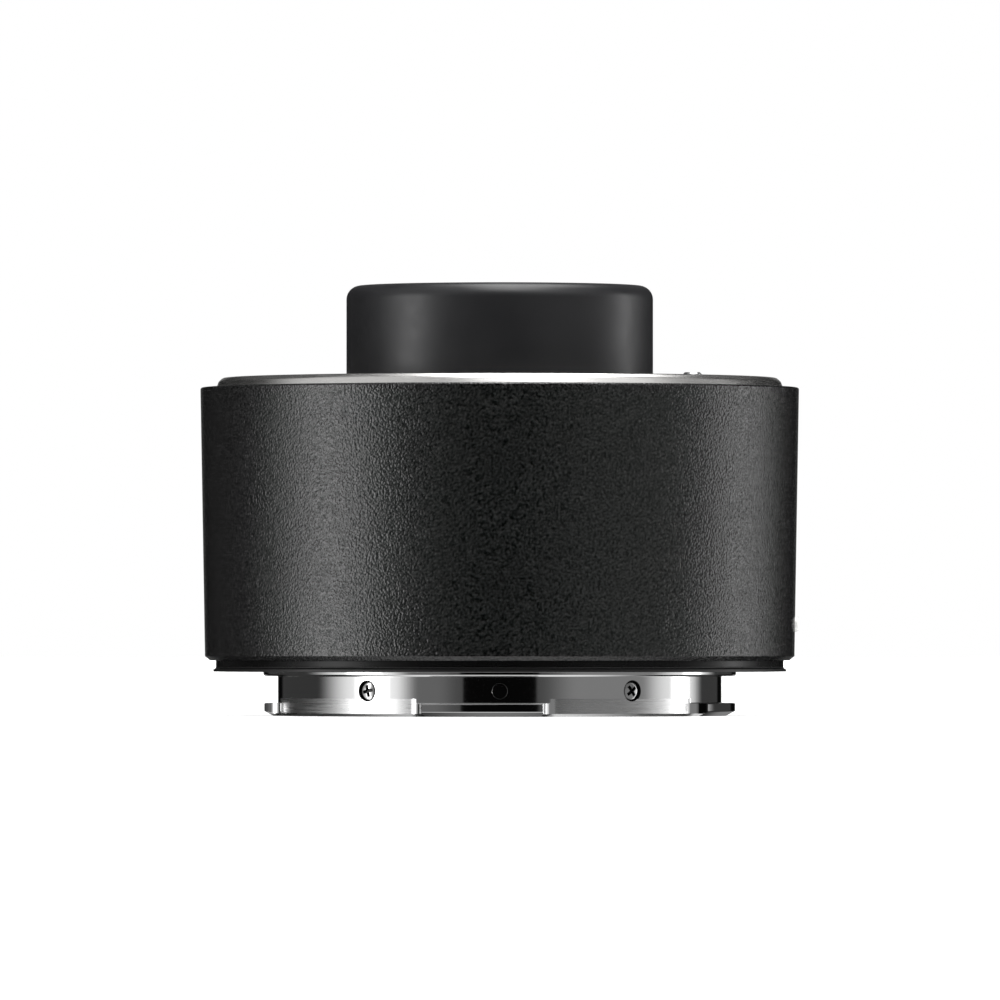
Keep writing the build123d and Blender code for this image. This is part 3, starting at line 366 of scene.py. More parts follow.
def bump(tree, shader, height, depth_mm, strength=1.0):
    """Joins a height output to the shader's normal as a bump of that depth, on top of any before it."""
    node = tree.nodes.new("ShaderNodeBump")
    node.inputs["Strength"].default_value = strength
    node.inputs["Distance"].default_value = depth_mm * MM
    tree.links.new(height, node.inputs["Height"])
    if shader.inputs["Normal"].links:
        tree.links.new(shader.inputs["Normal"].links[0].from_socket, node.inputs["Normal"])
    tree.links.new(node.outputs["Normal"], shader.inputs["Normal"])


# %% [markdown]
# ## Black wrinkle paint
# The barrel is coated in a paint that dries into small soft pebbles, about a quarter of a millimetre
# across. Each pebble catches its own glint, so the bump matters more than the colour. A noise with few
# octaves gives soft swells, and a smooth cell pattern breaks them up, so the pebbles never repeat. The
# swells also tint the colour a little, so that the grain shows where little light falls.

# %% Wrinkle paint
PEBBLE = 1 / (0.23 * MM)
CELLS, PATCHES = PEBBLE * 1.5, PEBBLE * 0.9
SWELL_DEPTH, CELL_DEPTH = 0.085, 0.014
TINT, TINT_SPAN = (0.0, 0.016), (0.35, 0.75)
PAINT_ROUGHNESS, NOISE_SPAN = (0.16, 0.25), (0.3, 0.7)
shell_paint, tree, shader = finish("shell_paint", (0.0070, 0.0070, 0.0075), 0.2, Specular_IOR_Level=0.6)
swell = texture(tree, "ShaderNodeTexNoise", PEBBLE, Detail=1.0, Roughness=0.4)
cells = texture(tree, "ShaderNodeTexVoronoi", CELLS, Randomness=1.0)
cells.feature = "SMOOTH_F1"
cells.inputs["Smoothness"].default_value = 0.6
tree.links.new(ranged(tree, swell.outputs["Fac"], *TINT, *TINT_SPAN), shader.inputs["Base Color"])
bump(tree, shader, cells.outputs["Distance"], CELL_DEPTH)
bump(tree, shader, swell.outputs["Fac"], SWELL_DEPTH)
patch = texture(tree, "ShaderNodeTexNoise", PATCHES, Detail=3.0)
tree.links.new(ranged(tree, patch.outputs["Fac"], *PAINT_ROUGHNESS, *NOISE_SPAN), shader.inputs["Roughness"])
print("pebbles per millimetre:", round(PEBBLE * MM, 2))

# %% [markdown]
# ## Smooth paints, rubber and moulded plastic
# The nose has a smooth satin black finish, the neck under the barrel is a deeper and glossier black, and
# the lip at the mount is rubber. The moulded pieces inside the wells are matt with a fine spark-eroded
# grain. They share one recipe: dark colour, a faint cloud in the roughness and a fine grain in the bump.

# %% Satin finishes
CLOUD_SIZE = 4.0


def satin(name, colour, roughness, grain_mm, depth_mm, spread=0.05, **sockets):
    """Dark coating with a fine grain: noise bump of that size and depth, and roughness that drifts."""
    material, tree, shader = finish(name, colour, roughness, **sockets)
    grain = texture(tree, "ShaderNodeTexNoise", 1 / (grain_mm * MM), Detail=2.0)
    bump(tree, shader, grain.outputs["Fac"], depth_mm)
    cloud = texture(tree, "ShaderNodeTexNoise", 1 / (CLOUD_SIZE * MM), Detail=3.0)
    drift = ranged(tree, cloud.outputs["Fac"], roughness - spread, roughness + spread, *NOISE_SPAN)
    tree.links.new(drift, shader.inputs["Roughness"])
    return material


nose_paint = satin("nose_paint", (0.0125, 0.0125, 0.0138), 0.38, 0.14, 0.006, Specular_IOR_Level=0.42)
ring_paint = satin("ring_paint", (0.003, 0.003, 0.003), 0.28, 0.15, 0.0015, Specular_IOR_Level=0.18)
seal_rubber = satin("seal_rubber", (0.004, 0.004, 0.004), 0.5, 0.12, 0.004)
well_plastic = satin("well_plastic", (0.018, 0.018, 0.019), 0.55, 0.22, 0.012)
contact_plastic = satin("contact_plastic", (0.020, 0.020, 0.020), 0.42, 0.15, 0.004)
optic_black = satin("optic_black", (0.012, 0.012, 0.012), 0.62, 0.15, 0.006)
lever_black = satin("lever_black", (0.022, 0.022, 0.023), 0.40, 0.12, 0.006)
black_steel = satin("black_steel", (0.025, 0.025, 0.026), 0.35, 0.15, 0.003)
chip_black = satin("chip_black", (0.03, 0.03, 0.03), 0.5, 0.1, 0.003)
dot_white = satin("dot_white", (0.85, 0.85, 0.83), 0.32, 0.2, 0.002, Coat_Weight=0.3)
print("materials so far:", len(bpy.data.materials))

# %% [markdown]
# ## Metals
# Both mounts are brass plated with chrome. The bayonet's barrel is polished like a mirror, the lands that
# the cutter left between its tabs are finely ribbed, and the front ring is satin. Turned and milled marks
# are noise stretched along the cut: on a lathe they run round the axis, so their pattern depends on height
# and radius much more than on the bearing.

# %% Metals
MARK_SLANT = 0.7


def plated(name, colour, roughness, mark_mm=0.05, depth_mm=0.0005, stretch=60.0, spread=0.3):
    """Metal whose marks run round Z: noise at (x / stretch, y / stretch, z - slant * r), where r is the
    distance from Z. It changes fast with height and radius, and slowly along the cut."""
    material, tree, shader = finish(name, colour, roughness, 1.0)
    coordinates = tree.nodes.new("ShaderNodeTexCoord")
    mapping = tree.nodes.new("ShaderNodeMapping")
    mapping.inputs["Scale"].default_value = (1 / stretch, 1 / stretch, 1.0)
    tree.links.new(coordinates.outputs["Object"], mapping.inputs["Vector"])
    flat, away, place = (tree.nodes.new("ShaderNodeVectorMath") for _ in range(3))
    flat.operation, away.operation, place.operation = "MULTIPLY", "LENGTH", "MULTIPLY_ADD"
    tree.links.new(coordinates.outputs["Object"], flat.inputs[0])
    flat.inputs[1].default_value = (1.0, 1.0, 0.0)
    tree.links.new(flat.outputs["Vector"], away.inputs[0])
    tree.links.new(away.outputs["Value"], place.inputs[0])
    place.inputs[1].default_value = (0.0, 0.0, -MARK_SLANT)
    tree.links.new(mapping.outputs["Vector"], place.inputs[2])
    marks = tree.nodes.new("ShaderNodeTexNoise")
    marks.inputs["Scale"].default_value = 1 / (mark_mm * MM)
    marks.inputs["Detail"].default_value = 3.0
    tree.links.new(place.outputs["Vector"], marks.inputs["Vector"])
    bump(tree, shader, marks.outputs["Fac"], depth_mm)
    low, high = roughness * (1 - spread), roughness * (1 + spread)
    tree.links.new(ranged(tree, marks.outputs["Fac"], low, high, *NOISE_SPAN), shader.inputs["Roughness"])
    return material


bayonet_chrome = plated("bayonet_chrome", (0.74, 0.74, 0.74), 0.07, depth_mm=0.00012)
milled_chrome = plated("milled_chrome", (0.66, 0.66, 0.66), 0.30, mark_mm=0.09, depth_mm=0.0022)
# A dark metal for the walls of holes and crosses: painted shade, because little light reaches into them.
painted_shade_metal = plated("painted_shade_metal", (0.05, 0.05, 0.05), 0.5)
ring_chrome = plated("ring_chrome", (0.70, 0.69, 0.675), 0.24, depth_mm=0.004)
screw_steel = plated("screw_steel", (0.66, 0.66, 0.66), 0.16, depth_mm=0.0006)
spring_steel = plated("spring_steel", (0.55, 0.55, 0.56), 0.25)
shim_metal = plated("shim_metal", (0.60, 0.60, 0.60), 0.3)
chassis_metal = plated("chassis_metal", (0.30, 0.30, 0.31), 0.38, mark_mm=0.12, depth_mm=0.003)
contact_gold = plated("contact_gold", (0.88, 0.64, 0.28), 0.18)
print("materials so far:", len(bpy.data.materials))

# %% [markdown]
# ## Glass, board and cables
# Optical glass is clear, and its coatings give the faint green and magenta tints, which the shader's thin
# film stands for. The circuit board and the flat cables are seen only when the converter is opened.

# %% Glass and electronics
FILM_THICKNESS, FILM_IOR = 330.0, 1.38
optic_glass, tree, shader = finish("optic_glass", (0.96, 0.99, 0.98), 0.0, IOR=1.62)
shader.inputs["Transmission Weight"].default_value = 1.0
shader.inputs["Thin Film Thickness"].default_value = FILM_THICKNESS
shader.inputs["Thin Film IOR"].default_value = FILM_IOR
board_green = satin("board_green", (0.02, 0.11, 0.05), 0.35, 0.5, 0.01)
flex_amber = satin("flex_amber", (0.42, 0.19, 0.05), 0.3, 0.4, 0.004)
print("materials in all:", len(bpy.data.materials))

# %% [markdown]
# ## A finish for every CAD node
# Each node wears the finish of its material slot. Nodes that show on the outside are then replaced by
# finer surfaces, and the ones inside keep their CAD mesh.

# %% Dress the CAD nodes
finishes = {
    "shell_paint": shell_paint,
    "ring_paint": ring_paint,
    "nose_paint": nose_paint,
    "ring_metal": ring_chrome,
    "bayonet_metal": bayonet_chrome,
    "screw_steel": screw_steel,
    "black_steel": black_steel,
    "spring_steel": spring_steel,
    "seal_rubber": seal_rubber,
    "well_plastic": well_plastic,
    "contact_plastic": contact_plastic,
    "contact_gold": contact_gold,
    "chassis_metal": chassis_metal,
    "optic_black": optic_black,
    "optic_glass": optic_glass,
    "board_green": board_green,
    "chip_black": chip_black,
    "flex_amber": flex_amber,
    "dot_white": dot_white,
    "lever_black": lever_black,
    "shim_metal": shim_metal,
}
slot_of = {row["node"]: row["material_slot"] for row in frame["record"]["subparts"]}
for node_name, node_object in frame["nodes"].items():
    wear(node_object, finishes[slot_of[node_name]])
print("finishes on the CAD nodes:", len(finishes))

# %% [markdown]
# ## Standing in for a CAD node
# A finer piece takes over the body, the finish and the place of the node that it replaces, and the node is
# hidden, so the piece moves with that node's body.

# %% Stand in


def stand_for(piece, node, material=None):
    """Lets a piece take the place of a CAD node: its body and its finish."""
    if material or not piece.data.materials:
        wear(piece, material or finishes[slot_of[node]])
    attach(piece, frame["nodes"][node]["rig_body"])
    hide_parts(node)
    print(piece.name, "has", len(piece.data.polygons), "faces")
    return piece


# %% [markdown]
# ## The painted barrel
# The shell tapers from its top down to a chamfer at its foot, and its bore opens at the top for the front
# ring. It is drawn as one closed profile, corner by corner, and each corner gets a rounding of its own.

# %% Barrel profile
shell_low, shell_high = box_mm("outer_shell")
shell_foot, shell_top = shell_low[2], shell_high[2]
SHELL_FOOT_RADIUS, SHELL_TOP_RADIUS, SHELL_BORE = 32.1, 32.6, 30.6
CHAMFER_WIDTH, CHAMFER_HEIGHT = 0.53, 0.48
RING_HOLE, RING_SEAT, SEAT_BEVEL = 30.9, 29.5, 0.8
corners = [
    (SHELL_BORE, shell_foot),
    (SHELL_FOOT_RADIUS - CHAMFER_WIDTH, shell_foot),
    (SHELL_FOOT_RADIUS, shell_foot + CHAMFER_HEIGHT),
    (SHELL_TOP_RADIUS, shell_top),
    (RING_HOLE, shell_top),
    (RING_HOLE, RING_SEAT),
    (SHELL_BORE, RING_SEAT - SEAT_BEVEL),
]
shell_profile = rounded(corners, [EDGE, 0.08, 0.10, 0.22, 0.08, EDGE, EDGE])
print("points in the barrel's profile:", len(shell_profile))

# %% [markdown]
# ## The slider's bed
# Behind, on the right, the barrel has a flat bed for the release slider. The flat is a plane at a distance
# from the axis, which on a lathe's grid is the distance divided by the cosine of the bearing from its
# middle, wherever that is less than the radius. The grid gets rows and bearings close to the bed's edges.

# %% Barrel with its bed
LOCK_BEARING, BED_DISTANCE, BED_HALF_WIDTH = 131.4, 31.9, 5.2
BED_LOW, BED_HIGH = 15.5, 30.6
LONG_SIDE, WALL, BEARINGS = 20.0, 0.5, 400
taper = (SHELL_TOP_RADIUS - SHELL_FOOT_RADIUS) / (shell_top - shell_foot - CHAMFER_HEIGHT)
bed_rows = np.array([[SHELL_FOOT_RADIUS + taper * (z - shell_foot - CHAMFER_HEIGHT), z]
                     for z in (BED_LOW, BED_HIGH)])
rows = np.concatenate([bed_rows + [[0, -SUPPORT]], bed_rows, bed_rows + [[0, SUPPORT]]])
rows = rows[np.argsort(rows[:, 1])]
climb = np.flatnonzero(np.diff(shell_profile[:, 1]) > LONG_SIDE)[0] + 1
profile = np.concatenate([shell_profile[:climb], rows, shell_profile[climb:]])
bed_edge = np.degrees(np.arctan(BED_HALF_WIDTH / BED_DISTANCE))
bearings = turns(BEARINGS, edges=(LOCK_BEARING - bed_edge, LOCK_BEARING + bed_edge))
sections = np.repeat(profile[None], len(bearings), axis=0)
swing = (bearings - LOCK_BEARING + 180) % 360 - 180
plane = BED_DISTANCE / np.cos(np.radians(swing))
on_bed = (np.abs(swing) < bed_edge)[:, None] & (profile[:, 1] >= BED_LOW) & (profile[:, 1] <= BED_HIGH)
on_bed &= profile[:, 0] > SHELL_BORE + WALL
sections[..., 0] = np.where(on_bed, np.minimum(sections[..., 0], plane[:, None]), sections[..., 0])
stand_for(build("shell", lathe(sections, bearings)), "outer_shell")

# %% [markdown]
# ## The nose
# A plain turned piece. Its front edge has a large soft rounding, which carries the long highlight at the top
# of the photograph, so that arc gets more steps than the others and may take more of its side.

# %% Nose
nose_low, nose_high = box_mm("nose_shell")
NOSE_RADIUS, NOSE_FOOT_RADIUS, NOSE_BORE, NOSE_LIP = 16.70, 17.9, 14.25, 12.9
SHROUD_BOTTOM = 25.0
FUNNEL_WIDTH, FUNNEL_DEPTH, LIP_DEPTH = 1.5, 0.75, 1.0
NOSE_ROUNDING, NOSE_STEPS, NOSE_SHARE = 1.5, 12, 0.66
corners = [
    (NOSE_BORE, nose_low[2]),
    (NOSE_FOOT_RADIUS, nose_low[2]),
    (NOSE_FOOT_RADIUS, SHROUD_BOTTOM),
    (NOSE_RADIUS, SHROUD_BOTTOM),
    (NOSE_RADIUS, nose_high[2]),
    (NOSE_LIP + FUNNEL_WIDTH, nose_high[2]),
    (NOSE_LIP, nose_high[2] - FUNNEL_DEPTH),
    (NOSE_LIP, nose_high[2] - LIP_DEPTH),
    (NOSE_BORE, nose_high[2] - LIP_DEPTH),
]
nose_edges = [EDGE, EDGE, EDGE, EDGE, NOSE_ROUNDING, 0.12, 0.06, EDGE, EDGE]
profile = rounded(corners, nose_edges, share=NOSE_SHARE, steps=NOSE_STEPS)
stand_for(build("nose", lathe(profile)), "nose_shell")

# %% [markdown]
# ## The neck
# The ring under the barrel carries it to the mount. It has a groove for the barrel's foot and a shelf inside
# for the bayonet's flange.

# %% Neck
neck_top = box_mm("rear_cover_ring")[1][2]
NECK_RADIUS, NECK_START, NECK_HOLE = 30.91, 0.56, 30.05
NECK_OUTSIDE, NECK_INSIDE = 30.55, 29.45
SHELF_RADIUS, SHELF_LOW, SHELF_HIGH = 24.4, 1.4, 2.2
corners = [
    (SHELF_RADIUS, SHELF_LOW),
    (NECK_HOLE, SHELF_LOW),
    (NECK_HOLE, NECK_START),
    (NECK_RADIUS, NECK_START),
    (NECK_RADIUS, shell_foot),
    (NECK_OUTSIDE, shell_foot),
    (NECK_OUTSIDE, neck_top),
    (NECK_INSIDE, neck_top),
    (NECK_INSIDE, SHELF_HIGH),
    (SHELF_RADIUS, SHELF_HIGH),
]
stand_for(build("neck", lathe(rounded(corners))), "rear_cover_ring")

# %% [markdown]
# ## The rubber lip
# The seal flares out to a thin edge over a hollow curve, which is a quarter of an ellipse from the neck down
# to the edge.

# %% Lip
seal_low, seal_high = box_mm("mount_seal")
LIP_RADIUS, LIP_EDGE, LIP_STEPS, LIP_ROUNDING = seal_high[0], 0.3, 12, 0.05
flare = np.radians(np.linspace(180, 270, LIP_STEPS))
curve = np.stack([LIP_RADIUS + (LIP_RADIUS - NECK_RADIUS) * np.cos(flare),
                  NECK_START + (NECK_START - LIP_EDGE) * np.sin(flare)], axis=-1)
foot = rounded([(LIP_RADIUS, LIP_EDGE), (LIP_RADIUS, seal_low[2]), (NECK_HOLE, seal_low[2]),
                (NECK_HOLE, NECK_START)], LIP_ROUNDING, closed=False)
stand_for(build("lip", lathe(np.concatenate([curve, foot[1:]]))), "mount_seal")

# %% [markdown]
# ## The female bayonet at the front
# The ring's claws reach in under its front edge. In the profile they are a step in the bore, and outside a
# claw the radius is simply held out to the bore.

# %% Front ring
RING_TOP, RING_RADIUS = 32.0, 30.85
RING_BEVEL, RING_CROWN = (30.62, 31.58), 30.15
THROAT, THROAT_BEVEL, POCKET = 25.8, 0.3, 27.0
CLAW, CLAW_LOW, CLAW_HIGH, CLAW_OVERLAP = 24.4, 29.3, 30.8, 2.0
TABS = [(-19.0, 10.3), (61.3, 98.0), (152.0, 190.0), (238.0, 277.0)]
claws = [(start - CLAW_OVERLAP, end + CLAW_OVERLAP) for start, end in TABS]
corners = [
    (POCKET, CLAW_LOW),
    (POCKET, RING_SEAT),
    (RING_RADIUS, RING_SEAT),
    (RING_RADIUS, shell_top),
    RING_BEVEL,
    (RING_CROWN, RING_TOP),
    (THROAT + THROAT_BEVEL, RING_TOP),
    (THROAT, RING_TOP - THROAT_BEVEL),
    (THROAT, CLAW_HIGH),
    (CLAW, CLAW_HIGH),
    (CLAW, CLAW_LOW),
]
profile = rounded(corners, [EDGE, EDGE, EDGE, 0.3, 0.5, 0.5, 0.08, 0.08, 0.06, 0.15, 0.15])
bearings = turns(BEARINGS, edges=[edge for claw in claws for edge in claw])
inside = np.zeros(len(bearings), bool)
for start, end in claws:
    inside |= (bearings - start) % 360 < end - start
sections = np.repeat(profile[None], len(bearings), axis=0)
sections[..., 0] = np.where(inside[:, None], sections[..., 0], np.maximum(sections[..., 0], THROAT))
ring = build("front_ring", lathe(sections, bearings))
print("claws on the front ring:", len(claws))

# %% [markdown]
# ## Holes in the ring
# Four countersunk screw holes, the bore of the lock pin and a shallow seat for the white dot. Each cutter is
# a turned shape with its mouth at height 0, and a tuple holds its radius and depth and those of its mouth.

# %% Holes in the ring
SCREW_HOLE, PIN_HOLE, DOT_HOLE = (0.85, 4, 1.62, 0.87), (1.09, 4, 1.2, 0.1), (0.84, 0.28, 0.9, 0.05)
FRONT_SCREWS, DOT_BEARING = 20.0 + 90.0 * np.arange(4), 90.0
RING_MIDDLE, HOLE_BEARINGS = (THROAT + RING_RADIUS) / 2, 48


def drill(radius, depth, head_radius, head_depth, out=0.4, lip=0.999):
    """Cutter about Z with its mouth at height 0: a hole with a cone-shaped mouth. It stands out by `out`."""
    wide = head_radius + (head_radius - radius) / head_depth * out
    path = [(0, out), (wide, out), (wide, out * lip), (radius, -head_depth), (radius, -depth), (0, -depth)]
    return lathe(np.array(path, float), turns(HOLE_BEARINGS))


def on_ring(bearing, sunk=0.0):
    """Place in the middle of the front ring's face at a bearing, sunk into it by a depth."""
    return around(bearing) * RING_MIDDLE + [0, 0, RING_TOP - sunk]


holes = [placed(drill(*SCREW_HOLE), on_ring(b), AXIS) for b in FRONT_SCREWS]
holes.append(placed(drill(*PIN_HOLE), on_ring(LOCK_BEARING), AXIS))
holes.append(placed(drill(*DOT_HOLE), on_ring(DOT_BEARING), AXIS))
# The walls that the holes leave wear the dark metal of painted shade.
carve(ring, build("ring_holes", joined(holes)), (ring_chrome, painted_shade_metal))
stand_for(ring, "front_mount_ring")

# %% [markdown]
# ## The male bayonet at the back
# This is the piece that shows the most skill. It is turned first, as one profile with a lip all round: from
# the bore, under the tabs and up the barrel to the spigot and the flange. Extra rows lie where the lands
# will end, at their top and along the slope under the tabs.

# %% Bayonet profile
FLANGE_TOP, FLANGE_RADIUS, SPIGOT_RADIUS, SPIGOT_DEPTH, SPIGOT_CHAMFER = 1.2, 30.0, 25.75, 0.45, 0.17
BARREL_RADIUS, BARREL_BORE, BARREL_DEPTH = 24.17, 22.0, 4.78
TAB_RADIUS, TAB_TOP, TAB_FACE, TAB_CHAMFER = 25.66, -3.38, -4.27, 1.0
LAND_TOP, LAND_STEP, LAND_CHAMFER = -2.86, 0.10, 0.3
STEP_ROWS, SLOPE_ROWS = np.array([-0.06, -0.02, 0.0, 0.03]), np.array([-0.1, -0.03, 0.0, 0.03])
TOUCH, NEAR_TAB = 1e-6, 0.3
corners = [
    (BARREL_BORE, FLANGE_TOP),
    (BARREL_BORE, -BARREL_DEPTH),
    (TAB_RADIUS - TAB_CHAMFER, -BARREL_DEPTH),
    (TAB_RADIUS, TAB_FACE),
    (TAB_RADIUS, TAB_TOP),
    (BARREL_RADIUS, TAB_TOP),
    (BARREL_RADIUS, -SPIGOT_DEPTH),
    (SPIGOT_RADIUS - SPIGOT_CHAMFER, -SPIGOT_DEPTH),
    (SPIGOT_RADIUS, SPIGOT_CHAMFER - SPIGOT_DEPTH),
    (SPIGOT_RADIUS, 0.0),
    (FLANGE_RADIUS, 0.0),
    (FLANGE_RADIUS, FLANGE_TOP),
]
profile = rounded(corners, [0.05, 0.08, 0.10, 0.12, 0.12, 0.10, 0.06, 0.03, 0.03, 0.005, 0.06, 0.06])
wall = np.flatnonzero((np.abs(profile[:, 0] - BARREL_RADIUS) < TOUCH) & (profile[:, 1] < LAND_TOP))[-1] + 1
step = np.column_stack([np.full(len(STEP_ROWS), BARREL_RADIUS), LAND_TOP + STEP_ROWS])
profile = np.concatenate([profile[:wall], step, profile[wall:]])
slant = np.flatnonzero(profile[:, 0] > TAB_RADIUS - NEAR_TAB)[0]
rises = LAND_CHAMFER + SLOPE_ROWS
run = TAB_CHAMFER / (TAB_FACE + BARREL_DEPTH)
rows = np.column_stack([TAB_RADIUS - TAB_CHAMFER + run * rises, rises - BARREL_DEPTH])
profile = np.concatenate([profile[:slant], rows, profile[slant:]])
print("points in the bayonet's profile:", len(profile))

# %% [markdown]
# ## The cutter's path
# An upright cutter then clears the lands between the tabs, so a tab ends in the cutter's own round. On the
# grid, the radius under the land's top is held in to the cutter's path: the land's radius in the middle of
# a gap, and near its ends R cos d - sqrt(r^2 - R^2 sin^2 d), the near side of a circle seen from the axis.

# %% Bayonet
CUTTER, CUTTER_STEPS, LAND_MARGIN = 2.0, 24, 0.01
land_radius = BARREL_RADIUS - LAND_STEP
cutter_path = land_radius + CUTTER
cutter_angle = np.degrees(np.arcsin(CUTTER / cutter_path))
gaps = list(zip([end for start, end in TABS], [start for start, end in TABS[1:]] + [TABS[0][0] + 360]))
sweep = cutter_angle * 2 * np.linspace(0, 1, CUTTER_STEPS)
near_ends = np.concatenate([np.concatenate([start + sweep, end - sweep]) for start, end in gaps]) % 360
ends = turns(BEARINGS, edges=np.ravel(gaps), width=0.03)
bearings = np.unique(np.round(np.concatenate([ends, near_ends]), 4))
reach = np.full(len(bearings), FLANGE_RADIUS + 1)
for start, end in gaps:
    into = (bearings - start) % 360
    length = end - start
    off = np.radians(np.maximum(cutter_angle - np.minimum(into, length - into), 0.0))
    path = cutter_path * np.cos(off) - np.sqrt(np.maximum(CUTTER**2 - (cutter_path * np.sin(off)) ** 2, 0))
    reach = np.where(into < length, np.minimum(reach, path), reach)
sections = np.repeat(profile[None], len(bearings), axis=0)
under = (profile[:, 1] < LAND_TOP - LAND_MARGIN) & (profile[:, 0] > BARREL_BORE + WALL)
bevel = np.maximum(LAND_CHAMFER - BARREL_DEPTH - profile[:, 1], 0)
held_in = np.minimum(sections[..., 0], reach[:, None] - bevel)
sections[..., 0] = np.where(under & (reach < TAB_RADIUS)[:, None], held_in, sections[..., 0])
bayonet = build("bayonet", lathe(sections, bearings))
print("lands between the tabs:", len(gaps))

# %% [markdown]
# ## Holes in the bayonet
# Two seats for the screws in the barrel's side, one for the plug between them, and four countersunk holes
# in the flange for the screws that hold the mount.

# %% Holes in the bayonet
SIDE_SCREWS, SIDE_HEIGHT = np.array([-36.2, 36.2]), -2.03
REAR_SCREWS, REAR_CIRCLE = 45.0 + 90.0 * np.arange(4), (SPIGOT_RADIUS + FLANGE_RADIUS) / 2
SIDE_SEAT, PLUG_SEAT = (1.12, 0.66, 1.17, 0.05), (0.845, 0.2, 0.875, 0.03)


def on_barrel(bearing, sunk=0.0):
    """Place on the bayonet's barrel at a bearing, at the height of its side screws, sunk into it."""
    return around(bearing) * (BARREL_RADIUS - sunk) + [0, 0, SIDE_HEIGHT]


holes = [placed(drill(*SIDE_SEAT), on_barrel(b), around(b)) for b in SIDE_SCREWS]
holes += [placed(drill(*PLUG_SEAT), on_barrel(0.0), around(0.0))]
holes += [placed(drill(*SCREW_HOLE), around(b) * REAR_CIRCLE, -AXIS) for b in REAR_SCREWS]
# The walls that the holes and seats leave wear the dark metal of painted shade.
carve(bayonet, build("bayonet_holes", joined(holes)), (bayonet_chrome, painted_shade_metal))
stand_for(bayonet, "rear_bayonet")

# %% [markdown]
# ## Milled lands
# The lands keep the fine ribs that the cutter left, and the rest of the bayonet is polished. So the faces
# under the lands' top that lie on or within the lands' radius get a finish of their own.

# %% Milled lands
LAND_REACH = 0.02
faces = bayonet.data.polygons
centres = np.zeros(len(faces) * 3)
faces.foreach_get("center", centres)
centres = centres.reshape(-1, 3) / MM
distance = np.hypot(centres[:, 0], centres[:, 1])
milled = (centres[:, 2] < LAND_TOP) & (distance < land_radius + LAND_REACH) & (distance > BARREL_BORE + WALL)
bayonet.data.materials.append(milled_chrome)
finish_index = np.zeros(len(faces), np.int32)
faces.foreach_get("material_index", finish_index)
faces.foreach_set("material_index", np.where(milled & (finish_index == 0), 2, finish_index).astype(np.int32))
print("milled faces:", int(milled.sum()))

# %% [markdown]
# ## Cross-head screws
# A screw head is a turned disc with a cross cut in it. The cross is a twelve-cornered outline that narrows
# towards its bottom, as the driver's tip does. One function makes every size of head.

# %% Screw shapes
DOME_POINTS, DOME_SHARE, HEAD_EDGE, HEAD_UNDERCUT, HEAD_ROUNDING = 8, 0.9, 0.06, 0.02, 0.05
PIN_BEARINGS = 64


def cross_cutter(arm, width, depth, turn=0.0):
    """Cross about Z with its mouth above height 0: an outline of twelve corners that shrinks downwards. Each
    level is a share of the outline and a height."""
    a, w = arm, width / 2
    outline = np.array([(a, -w), (a, w), (w, w), (w, a), (-w, a), (-w, w),
                        (-a, w), (-a, -w), (-w, -w), (-w, -a), (w, -a), (w, -w)])
    spin = np.radians(turn)
    outline = outline @ np.array([[np.cos(spin), np.sin(spin)], [-np.sin(spin), np.cos(spin)]])
    levels = [(0.0, 0.3), (1.08, 0.3), (1.0, 0.0), (0.55, -depth), (0.0, -depth * 1.15)]
    corners = len(outline)
    rings = np.array([np.column_stack([outline * share, np.full(corners, height)])
                      for share, height in levels])
    index = np.arange(len(rings) * corners).reshape(-1, corners)
    across = np.roll(index, -1, axis=1)
    faces = np.stack([index[:-1], across[:-1], across[1:], index[1:]], axis=-1).reshape(-1, 4)
    return rings.reshape(-1, 3), faces


def head(radius, dome, thickness, edge, shaft_radius, length):
    """Turned head about Z with its top at height 0: a dome that sags with the square of the radius, a
    rounded edge and a shaft below."""
    share = np.linspace(0, DOME_SHARE, DOME_POINTS)
    top = np.column_stack([radius * share, -dome * share**2])
    rest = rounded([top[-1], (radius, top[-1, 1] - HEAD_EDGE), (edge, -thickness),
                    (shaft_radius, -thickness - HEAD_UNDERCUT), (shaft_radius, -length), (0, -length)],
                   HEAD_ROUNDING, closed=False)
    return lathe(np.concatenate([top, rest[1:]]), turns(PIN_BEARINGS))


print("faces of a cross:", len(cross_cutter(1.0, 0.4, 0.5)[1]))

# %% [markdown]
# ## Placing the screws
# Each group is one piece, because identical screws share a node in the CAD model. A driver never leaves two
# crosses at the same angle, so each one is turned a little further than the last.

# %% Screws
SIDE_HEAD, SIDE_CROSS, SIDE_SUNK = (0.97, 0.16, 0.5, 0.95, 0.6, 4.6), (0.72, 0.38, 0.40), 0.10
MOUNT_HEAD, MOUNT_CROSS, MOUNT_SUNK = (1.58, 0.0, 0.85, 0.82, 0.8, 6.3), (0.95, 0.34, 0.6), 0.03
TURN_STEP = 25


def screws(name, node, places, out, size, cross, turn):
    """Group of equal screws with cross recesses, at places with their heads facing out. The walls of the
    crosses wear a dark metal as painted shade.
    """
    made = build(name, joined([placed(head(*size), place, way) for place, way in zip(places, out)]))
    cuts = [placed(cross_cutter(*cross, turn=turn + TURN_STEP * i), place, way)
            for i, (place, way) in enumerate(zip(places, out))]
    carve(made, build("crosses", joined(cuts)), (screw_steel, painted_shade_metal))
    return stand_for(made, node)


screws("side_screws", "barrel_side_screws", [on_barrel(b, SIDE_SUNK) for b in SIDE_SCREWS],
       [around(b) for b in SIDE_SCREWS], SIDE_HEAD, SIDE_CROSS, turn=12)
screws("front_screws", "front_mount_screws", [on_ring(b, MOUNT_SUNK) for b in FRONT_SCREWS],
       [AXIS] * 4, MOUNT_HEAD, MOUNT_CROSS, turn=10)
screws("rear_screws", "rear_flange_screws",
       [around(b) * REAR_CIRCLE + AXIS * MOUNT_SUNK for b in REAR_SCREWS],
       [-AXIS] * 4, MOUNT_HEAD, MOUNT_CROSS, turn=30)

# %% [markdown]
# ## The plug
# A plain pin, ground flush with the bayonet's barrel. Only its outline shows, as a thin circle.

